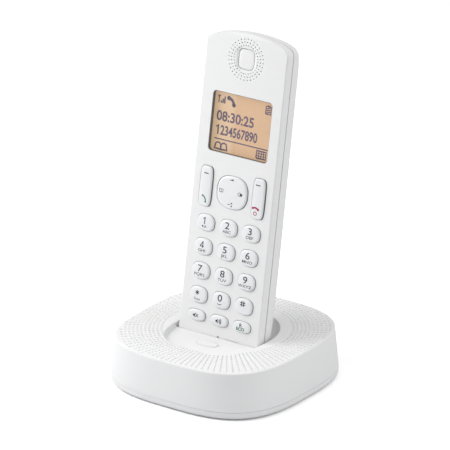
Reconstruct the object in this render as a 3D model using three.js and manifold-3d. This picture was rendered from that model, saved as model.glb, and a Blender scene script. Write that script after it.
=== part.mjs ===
// A cordless telephone handset that stands in its charging base.
// Millimetres, +Z up. The front faces -Y, and the origin is on the table, under the middle of the base.
// The handset is modelled upright, with its front face on y = 0 and its lower end on z = 0,
// and the group that holds it leans it back into the base.

import * as THREE from 'three';
import { mergeVertices } from 'three/addons/utils/BufferGeometryUtils.js';
import Module from 'manifold-3d';

const wasm = await Module();
wasm.setup();

// Clearances that many pieces share
const gap = 0.3;
const overrun = 6;

// Counts of flat sides, and exponents of the rounded outlines
const segments = { base: 48, well: 36, key: 16, round: 12, small: 8, tiny: 6, back: 14, arc: 3 };
const curve = {
  base: 3.09, wellFront: 3, wellRear: 2, crownAlong: 2.8, crownAcross: 1.72, back: 2.4,
  key: 2.6, bar: 5, nav: 2.5, dish: 4,
};

// Base casing: a flared, rounded square with a gently tilted top
const base = { half: 49.9, flare: 1.6, frontTop: 23.5, rearTop: 25.1, edge: 0.8, seam: 4, wall: 2 };
const cover = {
  floor: 2, edgeRound: 2.4, edgeRise: 2,
  standoffInset: 6, standoffFront: -18, standoffRear: 30, standoffWidth: 5,
};
const foot = { x: 20, inset: 11.9, width: 9, thick: 1.1, proud: 0.4 };
const baseScrew = {
  inset: 17.4, head: 5, headThick: 1.5, shank: 2.4, length: 8.4, boss: 7, bossBore: 2.9, pad: 8, padRise: 1.3,
};
const baseBoard = { besideBoss: 1, front: -26, rearInset: 4.9, thick: 1.6, lift: 4.2 };

// Well in the base's top: a shallow egg-shaped recess, a bowl behind the handset and a close-fitting pocket
const well = { besideHandset: 1.7, middle: 2, front: 31, rearMargin: 15.3, shelfDrop: 2.2 };
const bowl = { besideHandset: 0.7, floor: 14, rearReach: 15 };
const bowlLevelShares = [0, 0.25, 0.55, 0.8, 1];
const bowlReachShares = [0, 0.42, 0.74, 0.92, 1];
const pocketWall = 2;

// Sockets in the base's rear wall, and the handset finder's button and switch
const lineJack = {
  x: -13, width: 13.4, height: 11.5, depth: 12.6,
  openWidth: 9.8, openHeight: 6.8, openDepth: 10, openLift: 2.6,
};
const dcInlet = { x: 13, width: 9, height: 10.6, depth: 11.6, bore: 6, boreDepth: 9, pin: 1.6 };
const finder = {
  y: -15, width: 12, height: 5.4, proud: 0.3, crown: 0.3,
  flange: 0.8, flangeThick: 0.9, stem: 2.4, travel: 0.8,
};
const finderSwitch = { width: 6, height: 3.6 };

// Handset casing, and how it stands in the base
const handset = {
  width: 48, length: 160.6, lowDepth: 20.5, deepest: 23.4, deepestAt: 40, topDepth: 21.6, side: 5,
  frontEdge: 0.8, lowRound: 4, topRound: 2, backRound: 15, leastDepth: 1.5, crown: 7.4, wall: 1.8, parting: 5.1,
};
const crownEndShare = 0.999;
const bodyHeightShares = [0.09, 0.25, 0.36, 0.47, 0.58, 0.69, 0.8, 0.9];
const crownShares = [0, 0.25, 0.45, 0.63, 0.78, 0.9, 0.97];
const lean = THREE.MathUtils.degToRad(9.7);
const seat = { y: -7.64, z: 13.37, clearance: 0.35 };

// Keys: three columns between the handset's side margins, in rows measured from its lower end
const columns = 3;
const key = {
  height: 8.4, proud: 1.3, crown: 0.5, crownInset: 0.8,
  margin: 5.25, spacing: 3.3, topRow: 64.15, rowPitch: 12.17,
};
const smallKey = { height: 5.8, drop: 10.35 };
const keyTravel = 0.7;
const keyFlange = { reach: 0.7, drop: 0, thick: 0.8 };
const bar = { width: 7.2, height: 20.1, margin: 4.7, z: 82.2, proud: 0.9 };
const barFlange = { reach: 0.55, drop: 0.7, thick: 0.5 };
const nav = { besideBars: 3.2, height: 16.4, z: 81.95, proud: 1 };
const navFlange = { reach: 0.55, drop: 0.6, thick: 0.5 };
const navCarrier = { width: 6, hole: 8, thick: 1.4 };

// Face of the handset
const screen = { margin: 6.1, height: 30.1, z: 115.1, lip: 1.6, sunk: 0.25, flangeThick: 0.8, corner: 2 };
const display = { besideWall: 1.7, height: 33, thick: 1.8 };
const ear = { z: 148.2, dish: 10.4, dishDepth: 1, holeRing: 7.1, hole: 1, speaker: 18 };
const earHoles = 12;
const mic = { z: 9, hole: 1.6, width: 6 };

// Inside the handset
const mat = { besideWall: 2.2, bottom: 12.6, top: 93.2, thick: 1 };
const board = { besideWall: 1.7, bottom: 6, top: 151, thick: 1.2 };
const caseScrew = {
  margin: 7, z: 96, boss: 4.4, bossBore: 2.3, tower: 7,
  head: 4.4, headThick: 1.5, shank: 1.9, length: 7.4, seatThick: 2,
};
const cell = { width: 10.5, length: 44.5, nub: 3.8, nubLength: 0.8, shoulder: 0.6, apart: 0.6 };
const cellPlate = { thick: 0.5, width: 19, height: 7 };
const tray = { bottom: 36, floorBehindBoard: 0.5, floor: 1.2, wall: 1.2, wallRise: 8 };
const batteryCover = { margin: 7, bottom: 30, top: 90, corner: 4 };
const ringer = { z: 120, width: 16, thick: 3.4, slots: 3, slotPitch: 3.2, slotWidth: 9, slotHeight: 1.2 };

// Charging contacts: sprung pins in the base under strips in the handset
const terminal = { x: 12, y: 10, width: 6, depth: 6, thick: 0.8, riser: 7, slotWidth: 4, slotDepth: 5 };
const pin = { width: 1.6, depth: 3.8, flangeReach: 1.2, flangeThick: 0.8 };

// Places and widths in the base that follow from its size
const topHalf = base.half - base.flare;
const wellRear = topHalf - well.middle - well.rearMargin;
const screwPlace = base.half - baseScrew.inset;
const footY = base.half - foot.inset;
const baseBoardHalf = screwPlace - baseScrew.boss / 2 - baseBoard.besideBoss;
const jackFace = base.half - base.wall;
const jackLift = baseBoard.lift + baseBoard.thick + gap;

// Places and widths that follow from the handset's width
const handsetHalf = handset.width / 2;
const innerHalf = handsetHalf - handset.wall;
const wellHalf = handsetHalf + well.besideHandset;
const bowlHalf = handsetHalf + bowl.besideHandset;
const keyWidth = (handset.width - 2 * key.margin - (columns - 1) * key.spacing) / columns;
const barX = handsetHalf - bar.margin - bar.width / 2;
const navWidth = 2 * (barX - bar.width / 2 - nav.besideBars);
const screenWidth = handset.width - 2 * screen.margin;
const caseScrewX = handsetHalf - caseScrew.margin;
const coverHalf = handsetHalf - batteryCover.margin;

// Levels inside the handset, from its front face backwards
const flangeFront = handset.wall + gap;
const matFront = flangeFront + keyFlange.thick + keyTravel + gap;
const boardFront = matFront + mat.thick + gap;
const trayFront = boardFront + board.thick + tray.floorBehindBoard;
const trayBack = trayFront + tray.floor;
const trayTop = tray.bottom + cell.length + 2 * cellPlate.thick + 4 * gap;

// Boolean work on closed meshes

function solid(geometry) {
  const bare = geometry.clone();
  bare.deleteAttribute('normal');
  bare.deleteAttribute('uv');
  const merged = mergeVertices(bare, 1e-5);
  return new wasm.Manifold(new wasm.Mesh({
    numProp: 3,
    vertProperties: new Float32Array(merged.attributes.position.array),
    triVerts: new Uint32Array(merged.index.array),
  }));
}

function geometryOf(body) {
  const mesh = body.getMesh();
  const stride = 3;
  const geometry = new THREE.BufferGeometry();
  const places = [];
  for (let start = 0; start < mesh.vertProperties.length; start += mesh.numProp) {
    places.push(...mesh.vertProperties.slice(start, start + stride));
  }
  geometry.setAttribute('position', new THREE.Float32BufferAttribute(places, stride));
  geometry.setIndex(Array.from(mesh.triVerts));
  return geometry;
}

const join = (...parts) => parts.reduce((whole, part) => whole.add(part));
const cut = (body, ...tools) => tools.reduce((left, tool) => left.subtract(tool), body);

// Basic closed shapes

// A box given by its lowest and highest corners.
function block(low, high) {
  const size = new THREE.Vector3().subVectors(high, low);
  const middle = new THREE.Vector3().addVectors(low, high).multiplyScalar(0.5);
  return new THREE.BoxGeometry(size.x, size.y, size.z).translate(middle.x, middle.y, middle.z);
}

const at = (x, y, z) => new THREE.Vector3(x, y, z);

// A round bar along Z, from one height to another.
function post(x, y, bottom, top, width, count = segments.round) {
  const height = top - bottom;
  const turned = new THREE.CylinderGeometry(width / 2, width / 2, height, count).rotateX(Math.PI / 2);
  return turned.translate(x, y, bottom + height / 2);
}

// A round bar along Y, from one depth to another.
function peg(x, z, front, back, width, count = segments.round) {
  const length = back - front;
  return new THREE.CylinderGeometry(width / 2, width / 2, length, count).translate(x, front + length / 2, z);
}

// A point of a superellipse: cosine and sine, each raised to two over the exponent.
function ovalPoint(angle, halfWidth, halfHeight, exponent) {
  const bend = (value) => Math.sign(value) * Math.abs(value) ** (2 / exponent);
  return new THREE.Vector2(halfWidth * bend(Math.cos(angle)), halfHeight * bend(Math.sin(angle)));
}

function oval(halfWidth, halfHeight, exponent, count) {
  const step = (2 * Math.PI) / count;
  const point = (turn) => ovalPoint((turn + 0.5) * step, halfWidth, halfHeight, exponent);
  return Array.from({ length: count }, (_, turn) => point(turn));
}

// A closed skin through rings with equal numbers of points, with a flat fan over each end.
function loft(rings) {
  const count = rings[0].length;
  const middleOf = (ring) => ring.reduce((sum, point) => sum.add(point), at(0, 0, 0)).divideScalar(count);
  const points = rings.flat();
  const firstMiddle = points.push(middleOf(rings[0])) - 1;
  const lastMiddle = points.push(middleOf(rings.at(-1))) - 1;
  const lastRing = (rings.length - 1) * count;
  const faces = [];
  for (let side = 0; side < count; side += 1) {
    const next = (side + 1) % count;
    for (let ring = 0; ring < lastRing; ring += count) {
      faces.push(ring + side, ring + next, ring + next + count);
      faces.push(ring + side, ring + next + count, ring + side + count);
    }
    faces.push(next, side, firstMiddle);
    faces.push(lastRing + side, lastRing + next, lastMiddle);
  }
  const geometry = new THREE.BufferGeometry().setFromPoints(points);
  geometry.setIndex(faces);
  return volumeOf(geometry) < 0 ? turnedInsideOut(geometry) : geometry;
}

function volumeOf(geometry) {
  const place = geometry.attributes.position;
  const corner = (index) => new THREE.Vector3().fromBufferAttribute(place, index);
  const faces = geometry.index.array;
  let volume = 0;
  for (let face = 0; face < faces.length; face += 3) {
    const [a, b, c] = [corner(faces[face]), corner(faces[face + 1]), corner(faces[face + 2])];
    volume += a.dot(b.cross(c)) / 6;
  }
  return volume;
}

function turnedInsideOut(geometry) {
  geometry.setIndex(Array.from(geometry.index.array).reverse());
  return geometry;
}

// A rounded outline on the handset's face, carried backwards through levels of depth and growth.
function faceStack(x, z, shape, levels) {
  const rings = levels.map(({ depth, grow }) => {
    const outline = oval(shape.width / 2 + grow, shape.height / 2 + grow, shape.exponent, shape.count);
    return outline.map((point) => at(x + point.x, depth, z + point.y));
  });
  return loft(rings);
}

// Base outlines

const topHeight = (y) => THREE.MathUtils.mapLinear(y, -topHalf, topHalf, base.frontTop, base.rearTop);

// A ring of the base's rounded square, dropped below the tilted top.
function topRing(half, drop) {
  return oval(half, half, curve.base, segments.base).map(({ x, y }) => at(x, y, topHeight(y) - drop));
}

function levelRing(half, z) {
  return oval(half, half, curve.base, segments.base).map(({ x, y }) => at(x, y, z));
}

// The egg outline of the well: one exponent for the front half, another for the rear half.
function eggRing(halfWidth, front, rear, heightAt) {
  const step = (2 * Math.PI) / segments.well;
  return Array.from({ length: segments.well }, (_, turn) => {
    const angle = turn * step;
    const behind = Math.sin(angle) > 0;
    const reach = behind ? rear : front;
    const point = ovalPoint(angle, halfWidth, reach, behind ? curve.wellRear : curve.wellFront);
    const y = well.middle + point.y;
    return at(point.x, y, heightAt(y));
  });
}

const handsetPlace = new THREE.Matrix4().makeRotationX(-lean).setPosition(0, seat.y, seat.z);
const leaned = (geometry) => geometry.applyMatrix4(handsetPlace);

// Handset outlines

// Depth of the back's ridge behind the front face: boat-like, deepest in the hand.
function ridgeDepth(height) {
  if (height > handset.deepestAt) {
    const fall = THREE.MathUtils.smoothstep(height, handset.deepestAt, handset.length);
    return THREE.MathUtils.lerp(handset.deepest, handset.topDepth, fall);
  }
  const share = 1 - height / handset.deepestAt;
  return THREE.MathUtils.lerp(handset.deepest, handset.lowDepth, share ** 2);
}

// Depth of the outer back at a distance from the middle line.
function backDepth(x, height) {
  const share = Math.abs(x) / (handsetHalf);
  return handset.side + (ridgeDepth(height) - handset.side) * (1 - share ** curve.back) ** (1 / curve.back);
}

// How far a rounded end has drawn in, at a distance from its tip.
function drawnIn(distance, radius) {
  const left = Math.max(radius - distance, 0);
  return radius - Math.sqrt(Math.max(radius ** 2 - left ** 2, 0));
}

// One cross-section of the handset: flat front, rounded front edges, short sides and an elliptical back.
function handsetSection(height, inset) {
  const top = handset.length - inset;
  const crownShare = Math.max(height - (handset.length - handset.crown), 0) / (handset.crown - inset);
  const crown = (1 - Math.min(crownShare, crownEndShare) ** curve.crownAlong) ** (1 / curve.crownAcross);
  const low = drawnIn(height - inset, handset.lowRound);
  const high = drawnIn(top - height, handset.topRound);
  const half = (handsetHalf - inset - low) * crown;
  const front = inset + low + high;
  const behind = ridgeDepth(height) - inset - low - drawnIn(top - height, handset.backRound);
  const depth = Math.max(behind, front + handset.leastDepth);
  const radius = Math.min(Math.max(handset.frontEdge - inset, handset.frontEdge / 4), half / 2);
  const side = Math.min(Math.max(handset.side, front + radius + gap), depth - gap);
  const points = [];
  for (const hand of [-1, 1]) {
    for (let step = 0; step <= segments.arc; step += 1) {
      const turn = (step / segments.arc) * (Math.PI / 2);
      const angle = hand < 0 ? Math.PI / 2 - turn : turn;
      const x = hand * (half - radius + radius * Math.sin(angle));
      points.push(at(x, front + radius - radius * Math.cos(angle), height));
    }
  }
  for (let step = 0; step <= segments.back; step += 1) {
    const point = ovalPoint((step / segments.back) * Math.PI, half, depth - side, curve.back);
    points.push(at(point.x, side + point.y, height));
  }
  return points;
}

// How far a rounded lower end has risen, at a share of its quarter turn.
const lowRise = (share) => handset.lowRound * (1 - Math.cos((share * Math.PI) / 2));

// The handset's whole outer form, drawn in by an inset, or grown where the inset is negative.
function handsetForm(inset) {
  const crownStart = handset.length - handset.crown;
  const heights = Array.from({ length: segments.arc + 1 }, (_, step) => inset + lowRise(step / segments.arc));
  heights.push(...bodyHeightShares.map((share) => share * handset.length));
  heights.push(...crownShares.map((share) => crownStart + share * (handset.crown - inset)));
  heights.push(handset.length - inset);
  return solid(loft(heights.map((height) => handsetSection(height, inset))));
}

// Part of the handset between two depths.
function slab(front, back) {
  const side = handset.width;
  return solid(block(at(-side, front, -overrun), at(side, back, handset.length + overrun)));
}

// Base pieces

function baseForm(inset, bottom) {
  const rings = [
    levelRing(base.half - inset, bottom),
    topRing(topHalf - inset, base.edge + inset),
    topRing(topHalf - inset - base.edge, inset),
  ];
  return solid(loft(rings));
}

// The shallow egg-shaped recess in the top, grown by a margin for its own wall.
function shelfTool(margin) {
  const ring = (heightAt) => eggRing(wellHalf + margin, well.front + margin, wellRear + margin, heightAt);
  const floor = ring((y) => topHeight(y) - well.shelfDrop - margin);
  return solid(loft([floor, ring((y) => topHeight(y) + overrun)]));
}

// The bowl behind the handset: its rear wall slopes down to the handset's foot.
function bowlTool(margin) {
  const rim = base.frontTop + gap;
  const rings = bowlLevelShares.map((share, level) => {
    const reachShare = bowlReachShares[level];
    const halfWidth = THREE.MathUtils.lerp(bowlHalf, wellHalf, reachShare) + margin;
    const rear = THREE.MathUtils.lerp(bowl.rearReach, wellRear, reachShare) + margin;
    const height = THREE.MathUtils.lerp(bowl.floor - margin, rim, share);
    return eggRing(halfWidth, rear, rear, () => height);
  });
  const half = base.half;
  const behindFace = leaned(block(at(-half, -seat.clearance - margin, -half), at(half, 2 * half, 2 * half)));
  return solid(loft(rings)).intersect(solid(behindFace));
}

// The pocket that the handset's lower end slides into.
function pocketTool(margin) {
  const low = leaned(block(at(-base.half, -base.half, -overrun), at(base.half, base.half, 2 * base.rearTop)));
  return transformed(handsetForm(-seat.clearance - margin)).intersect(solid(low));
}

const transformed = (body) => solid(leaned(geometryOf(body)));

function cornerPlaces(x, y) {
  return [[-x, -y], [x, -y], [-x, y], [x, y]];
}

const finderTop = topHeight(finder.y) - well.shelfDrop;
const finderShape = { width: finder.width, height: finder.height, exponent: curve.key, count: segments.key };

function socketOpening(socket) {
  const reach = socket.width / 2 + gap;
  const low = at(socket.x - reach, jackFace - overrun, jackLift - gap);
  return solid(block(low, at(socket.x + reach, jackFace + overrun, jackLift + socket.height + gap)));
}

function pinSlot(hand) {
  const reachX = pin.width / 2 + gap;
  const reachY = pin.depth / 2 + gap;
  const low = at(hand * terminal.x - reachX, terminal.y - reachY, -overrun);
  return solid(leaned(block(low, at(hand * terminal.x + reachX, terminal.y + reachY, overrun))));
}

function finderHole() {
  const hole = faceStack(0, 0, finderShape, [{ depth: -overrun, grow: gap }, { depth: overrun, grow: gap }]);
  return solid(hole.rotateX(-Math.PI / 2).translate(0, finder.y, finderTop));
}

function baseTopHousing() {
  const outer = baseForm(0, base.seam);
  const hollow = baseForm(base.wall, base.seam - overrun);
  const linings = join(shelfTool(pocketWall), bowlTool(pocketWall), pocketTool(pocketWall)).intersect(outer);
  const bossBottom = cover.floor + baseScrew.padRise + gap;
  const bosses = cornerPlaces(screwPlace, screwPlace).map(([x, y]) => {
    const round = solid(post(x, y, bossBottom, base.rearTop, baseScrew.boss));
    const column = round.intersect(baseForm(0, bossBottom));
    const boreTop = baseScrew.length + 2 * gap + base.wall;
    return cut(column, solid(post(x, y, -overrun, boreTop, baseScrew.bossBore, segments.small)));
  });
  const shell = join(cut(outer, hollow), linings, ...bosses);
  const openings = [lineJack, dcInlet].map(socketOpening);
  const hollows = [shelfTool(0), bowlTool(0), pocketTool(0)];
  return cut(shell, ...hollows, finderHole(), pinSlot(-1), pinSlot(1), ...openings);
}

function baseBottomCover() {
  const rimTop = base.seam - gap;
  const outer = solid(loft([
    levelRing(base.half - cover.edgeRound, 0),
    levelRing(base.half - cover.edgeRound / 4, cover.edgeRise / 2),
    levelRing(base.half, cover.edgeRise),
    levelRing(base.half, rimTop),
  ]));
  const inside = base.half - base.wall;
  const hollow = solid(loft([levelRing(inside, cover.floor), levelRing(inside, base.half)]));
  const pads = cornerPlaces(screwPlace, screwPlace).map(([x, y]) => {
    return solid(post(x, y, cover.floor / 2, cover.floor + baseScrew.padRise, baseScrew.pad));
  });
  const standoffs = cornerPlaces(baseBoardHalf - cover.standoffInset, 0).map(([x], index) => {
    const y = index < 2 ? cover.standoffFront : cover.standoffRear;
    return solid(post(x, y, cover.floor / 2, baseBoard.lift - gap, cover.standoffWidth, segments.small));
  });
  const bores = cornerPlaces(screwPlace, screwPlace).flatMap(([x, y]) => [
    solid(post(x, y, -overrun, baseScrew.headThick + 2 * gap, baseScrew.head + 2 * gap)),
    solid(post(x, y, -overrun, overrun, baseScrew.shank + 2 * gap, segments.small)),
  ]);
  const recesses = cornerPlaces(foot.x, footY).map(([x, y]) => {
    return solid(post(x, y, -overrun, foot.thick - foot.proud + gap, foot.width + 2 * gap));
  });
  return cut(join(cut(outer, hollow), ...pads, ...standoffs), ...bores, ...recesses);
}

function baseCircuitBoard() {
  const low = at(-baseBoardHalf, baseBoard.front, baseBoard.lift);
  return block(low, at(baseBoardHalf, jackFace - baseBoard.rearInset, baseBoard.lift + baseBoard.thick));
}

function lineJackBody() {
  const half = lineJack.width / 2;
  const top = jackLift + lineJack.height;
  const body = solid(block(at(-half, jackFace - lineJack.depth, jackLift), at(half, jackFace, top)));
  const openHalf = lineJack.openWidth / 2;
  const openBottom = jackLift + lineJack.openLift;
  const low = at(-openHalf, jackFace - lineJack.openDepth, openBottom);
  const opening = solid(block(low, at(openHalf, jackFace + overrun, openBottom + lineJack.openHeight)));
  return cut(body, opening);
}

function dcInletBody() {
  const half = dcInlet.width / 2;
  const middle = jackLift + dcInlet.height / 2;
  const low = at(-half, jackFace - dcInlet.depth, jackLift);
  const body = solid(block(low, at(half, jackFace, jackLift + dcInlet.height)));
  const bore = solid(peg(0, middle, jackFace - dcInlet.boreDepth, jackFace + overrun, dcInlet.bore));
  const pinFoot = jackFace - dcInlet.boreDepth - gap;
  const centrePin = solid(peg(0, middle, pinFoot, jackFace - gap, dcInlet.pin, segments.small));
  return join(cut(body, bore), centrePin);
}

// The finder button: a cap above the shelf, a flange under it and a stem down to its switch.
function finderButton() {
  const flangeTop = pocketWall + gap;
  const flangeBottom = flangeTop + finder.flangeThick;
  const cap = faceStack(0, 0, finderShape, [
    { depth: -finder.proud, grow: -finder.crown },
    { depth: -finder.proud + finder.crown / 2, grow: 0 },
    { depth: flangeTop, grow: 0 },
    { depth: flangeTop, grow: finder.flange },
    { depth: flangeBottom, grow: finder.flange },
  ]);
  const upright = cap.rotateX(-Math.PI / 2).translate(0, finder.y, finderTop);
  const stemEnd = jackLift + finderSwitch.height + finder.travel + gap;
  const stem = post(0, finder.y, stemEnd, finderTop - flangeTop, finder.stem, segments.small);
  return join(solid(upright), solid(stem));
}

function finderSwitchBody() {
  const half = finderSwitch.width / 2;
  const low = at(-half, finder.y - half, jackLift);
  return block(low, at(half, finder.y + half, jackLift + finderSwitch.height));
}

// A round-headed screw on the Z axis, head downwards, with the head's face on z = 0.
function screw(head, headThick, shank, length) {
  const profile = [
    new THREE.Vector2(0, 0),
    new THREE.Vector2(head / 2, 0),
    new THREE.Vector2(head / 2, headThick),
    new THREE.Vector2(shank / 2, headThick),
    new THREE.Vector2(shank / 2, length),
    new THREE.Vector2(0, length),
  ];
  return new THREE.LatheGeometry(profile, segments.small).rotateX(Math.PI / 2);
}

// A sprung charging pin: it stands through the pocket's floor, with a flange below.
function chargePin(hand) {
  const floorUnder = -seat.clearance - pocketWall;
  const flangeTop = floorUnder - gap;
  const x = hand * terminal.x;
  const reachX = pin.width / 2;
  const reachY = pin.depth / 2;
  const tip = handset.wall;
  const lowest = at(x - reachX, terminal.y - reachY, flangeTop - gap);
  const upright = block(lowest, at(x + reachX, terminal.y + reachY, tip));
  const wide = at(reachX + pin.flangeReach, reachY + pin.flangeReach, 0);
  const low = at(x - wide.x, terminal.y - wide.y, flangeTop - pin.flangeThick);
  return join(solid(upright), solid(block(low, at(x + wide.x, terminal.y + wide.y, flangeTop))));
}

// Handset pieces

const keyShape = { width: keyWidth, height: key.height, exponent: curve.key, count: segments.key };
const smallKeyShape = { width: keyWidth, height: smallKey.height, exponent: curve.key, count: segments.key };
const barShape = { width: bar.width, height: bar.height, exponent: curve.bar, count: segments.key };
const navShape = { width: navWidth, height: nav.height, exponent: curve.nav, count: 1.5 * segments.key };
const dishShape = { width: ear.dish, height: ear.dish, exponent: curve.dish, count: segments.key };

const keyNames = ['1', '2', '3', '4', '5', '6', '7', '8', '9', 'star', '0', 'hash'];
const smallKeyNames = ['mute', 'speakerphone', 'recall'];

function keyPlaces() {
  const column = (index) => ((index % columns) - (columns - 1) / 2) * (keyWidth + key.spacing);
  const numbers = keyNames.map((label, index) => {
    const z = key.topRow - Math.floor(index / columns) * key.rowPitch;
    return { name: `key_${label}`, x: column(index), z, shape: keyShape };
  });
  const lastRow = numbers.at(-1).z - smallKey.drop;
  const smalls = smallKeyNames.map((label, index) => {
    return { name: `key_${label}`, x: column(index), z: lastRow, shape: smallKeyShape };
  });
  return [...numbers, ...smalls];
}

// A cap that stands proud of the face and keeps itself in with a flange behind the front wall.
function capOnFace(x, z, shape, proud, flange) {
  const front = flangeFront + flange.drop;
  return faceStack(x, z, shape, [
    { depth: -proud, grow: -key.crownInset },
    { depth: -proud + key.crown, grow: 0 },
    { depth: front, grow: 0 },
    { depth: front, grow: flange.reach },
    { depth: front + flange.thick, grow: flange.reach },
  ]);
}

function faceHole(x, z, shape) {
  const levels = [{ depth: -overrun, grow: gap }, { depth: handset.wall + gap, grow: gap }];
  return solid(faceStack(x, z, shape, levels));
}

// A rectangle with rounded corners on the handset's face, between two depths.
function facePlate(z, width, height, corner, front, back) {
  const [x, y] = [width / 2, height / 2];
  const outline = new THREE.Shape();
  outline.moveTo(-x + corner, -y);
  outline.lineTo(x - corner, -y);
  outline.absarc(x - corner, -y + corner, corner, -Math.PI / 2, 0);
  outline.lineTo(x, y - corner);
  outline.absarc(x - corner, y - corner, corner, 0, Math.PI / 2);
  outline.lineTo(-x + corner, y);
  outline.absarc(-x + corner, y - corner, corner, Math.PI / 2, Math.PI);
  outline.lineTo(-x, -y + corner);
  outline.absarc(-x + corner, -y + corner, corner, Math.PI, 1.5 * Math.PI);
  const settings = { depth: back - front, bevelEnabled: false, curveSegments: segments.arc };
  const plate = new THREE.ExtrudeGeometry(outline, settings);
  return solid(plate.rotateX(Math.PI / 2).translate(0, back, z));
}

// The ear's dish, with a ring of small round holes about it.
function earOpenings() {
  const levels = [{ depth: -overrun, grow: 0 }, { depth: ear.dishDepth, grow: -ear.dishDepth }];
  const holes = Array.from({ length: earHoles }, (_, index) => {
    const turn = ((index + 0.5) / earHoles) * 2 * Math.PI;
    const x = ear.holeRing * Math.cos(turn);
    const z = ear.z + ear.holeRing * Math.sin(turn);
    return solid(peg(x, z, -overrun, handset.wall + gap, ear.hole, segments.tiny));
  });
  return [solid(faceStack(0, ear.z, dishShape, levels)), ...holes];
}

function frontCase() {
  const front = slab(-overrun, handset.parting - gap / 2);
  const shell = cut(handsetForm(0), handsetForm(handset.wall)).intersect(front);
  const bosses = [-1, 1].map((hand) => {
    return solid(peg(hand * caseScrewX, caseScrew.z, handset.wall / 2, trayFront - gap, caseScrew.boss));
  });
  const boreBack = trayFront + overrun;
  const bores = [-1, 1].map((hand) => {
    const x = hand * caseScrewX;
    return solid(peg(x, caseScrew.z, handset.wall, boreBack, caseScrew.bossBore, segments.small));
  });
  const holes = keyPlaces().map(({ x, z, shape }) => faceHole(x, z, shape));
  holes.push(faceHole(-barX, bar.z, barShape), faceHole(barX, bar.z, barShape), faceHole(0, nav.z, navShape));
  const window = facePlate(screen.z, screenWidth, screen.height, screen.corner, -overrun, handset.wall + gap);
  const micHole = solid(peg(0, mic.z, -overrun, handset.wall + gap, mic.hole, segments.small));
  return cut(join(shell, ...bosses), ...bores, ...holes, window, micHole, ...earOpenings());
}

function displayWindow() {
  const paneWidth = screenWidth - 2 * gap;
  const paneHeight = screen.height - 2 * gap;
  const paneBack = flangeFront + gap;
  const pane = facePlate(screen.z, paneWidth, paneHeight, screen.corner - gap, screen.sunk, paneBack);
  const width = screenWidth + 2 * screen.lip;
  const height = screen.height + 2 * screen.lip;
  const lipBack = flangeFront + screen.flangeThick;
  return join(pane, facePlate(screen.z, width, height, screen.corner, flangeFront, lipBack));
}

const displayFront = flangeFront + screen.flangeThick + gap;

function displayModule() {
  const [x, y] = [innerHalf - display.besideWall, display.height / 2];
  return block(at(-x, displayFront, screen.z - y), at(x, displayFront + display.thick, screen.z + y));
}

const bossHoles = () => [-1, 1].map((hand) => {
  return solid(peg(hand * caseScrewX, caseScrew.z, 0, handset.deepest, caseScrew.boss + 2 * gap));
});

function handsetBoard() {
  const half = innerHalf - board.besideWall;
  const plate = block(at(-half, boardFront, board.bottom), at(half, boardFront + board.thick, board.top));
  return cut(solid(plate), ...bossHoles());
}

function keypadMat() {
  const half = innerHalf - mat.besideWall;
  const plate = solid(block(at(-half, matFront, mat.bottom), at(half, matFront + mat.thick, mat.top)));
  return cut(plate, solid(peg(0, nav.z, 0, handset.deepest, navCarrier.hole)));
}

const coverHeight = batteryCover.top - batteryCover.bottom;
const coverMiddle = (batteryCover.top + batteryCover.bottom) / 2;

// The opening in the back that the battery cover fills, grown or drawn in by a margin.
function coverTool(margin) {
  const width = 2 * (coverHalf + margin);
  const height = coverHeight + 2 * margin;
  const corner = batteryCover.corner + margin;
  return facePlate(coverMiddle, width, height, corner, trayBack + gap, handset.deepest + overrun);
}

const trayHalf = cell.width + cell.apart / 2 + gap;

function trayPieces() {
  const side = handsetHalf;
  const floor = block(at(-side, trayFront, batteryCover.bottom), at(side, trayBack, batteryCover.top));
  const outerHalf = trayHalf + tray.wall;
  const wallBack = trayBack + tray.wallRise;
  const lowest = at(-outerHalf, trayFront, tray.bottom - tray.wall);
  const walls = block(lowest, at(outerHalf, wallBack, trayTop + tray.wall));
  const inside = block(at(-trayHalf, trayBack, tray.bottom), at(trayHalf, wallBack + overrun, trayTop));
  return join(solid(floor).intersect(handsetForm(handset.wall / 2)), cut(solid(walls), solid(inside)));
}

function terminalSlot(hand) {
  const [x, y] = [terminal.slotWidth / 2, terminal.slotDepth / 2];
  const low = at(hand * terminal.x - x, terminal.y - y, -overrun);
  return solid(block(low, at(hand * terminal.x + x, terminal.y + y, handset.wall + gap)));
}

function ringerSlots() {
  return Array.from({ length: ringer.slots }, (_, index) => {
    const z = ringer.z + (index - (ringer.slots - 1) / 2) * ringer.slotPitch;
    const low = at(-ringer.slotWidth / 2, ringerFront() + ringer.thick, z - ringer.slotHeight / 2);
    return solid(block(low, at(ringer.slotWidth / 2, handset.deepest + overrun, z + ringer.slotHeight / 2)));
  });
}

function rearCase() {
  const shell = cut(handsetForm(0), handsetForm(handset.wall));
  const towers = [-1, 1].map((hand) => {
    const tower = solid(peg(hand * caseScrewX, caseScrew.z, trayFront, handset.deepest, caseScrew.tower));
    return tower.intersect(handsetForm(0));
  });
  const headSeat = trayFront + caseScrew.seatThick;
  const headBore = caseScrew.head + 2 * gap;
  const shankBore = caseScrew.shank + 2 * gap;
  const bores = [-1, 1].flatMap((hand) => [
    solid(peg(hand * caseScrewX, caseScrew.z, headSeat, handset.deepest + overrun, headBore)),
    solid(peg(hand * caseScrewX, caseScrew.z, 0, handset.deepest, shankBore, segments.small)),
  ]);
  const whole = join(cut(shell, coverTool(0)), trayPieces(), ...towers);
  const behind = whole.intersect(slab(handset.parting + gap / 2, handset.deepest + overrun));
  return cut(behind, ...bores, terminalSlot(-1), terminalSlot(1), ...ringerSlots());
}

function batteryCoverShell() {
  return cut(handsetForm(0), handsetForm(handset.wall)).intersect(coverTool(-gap));
}

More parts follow.
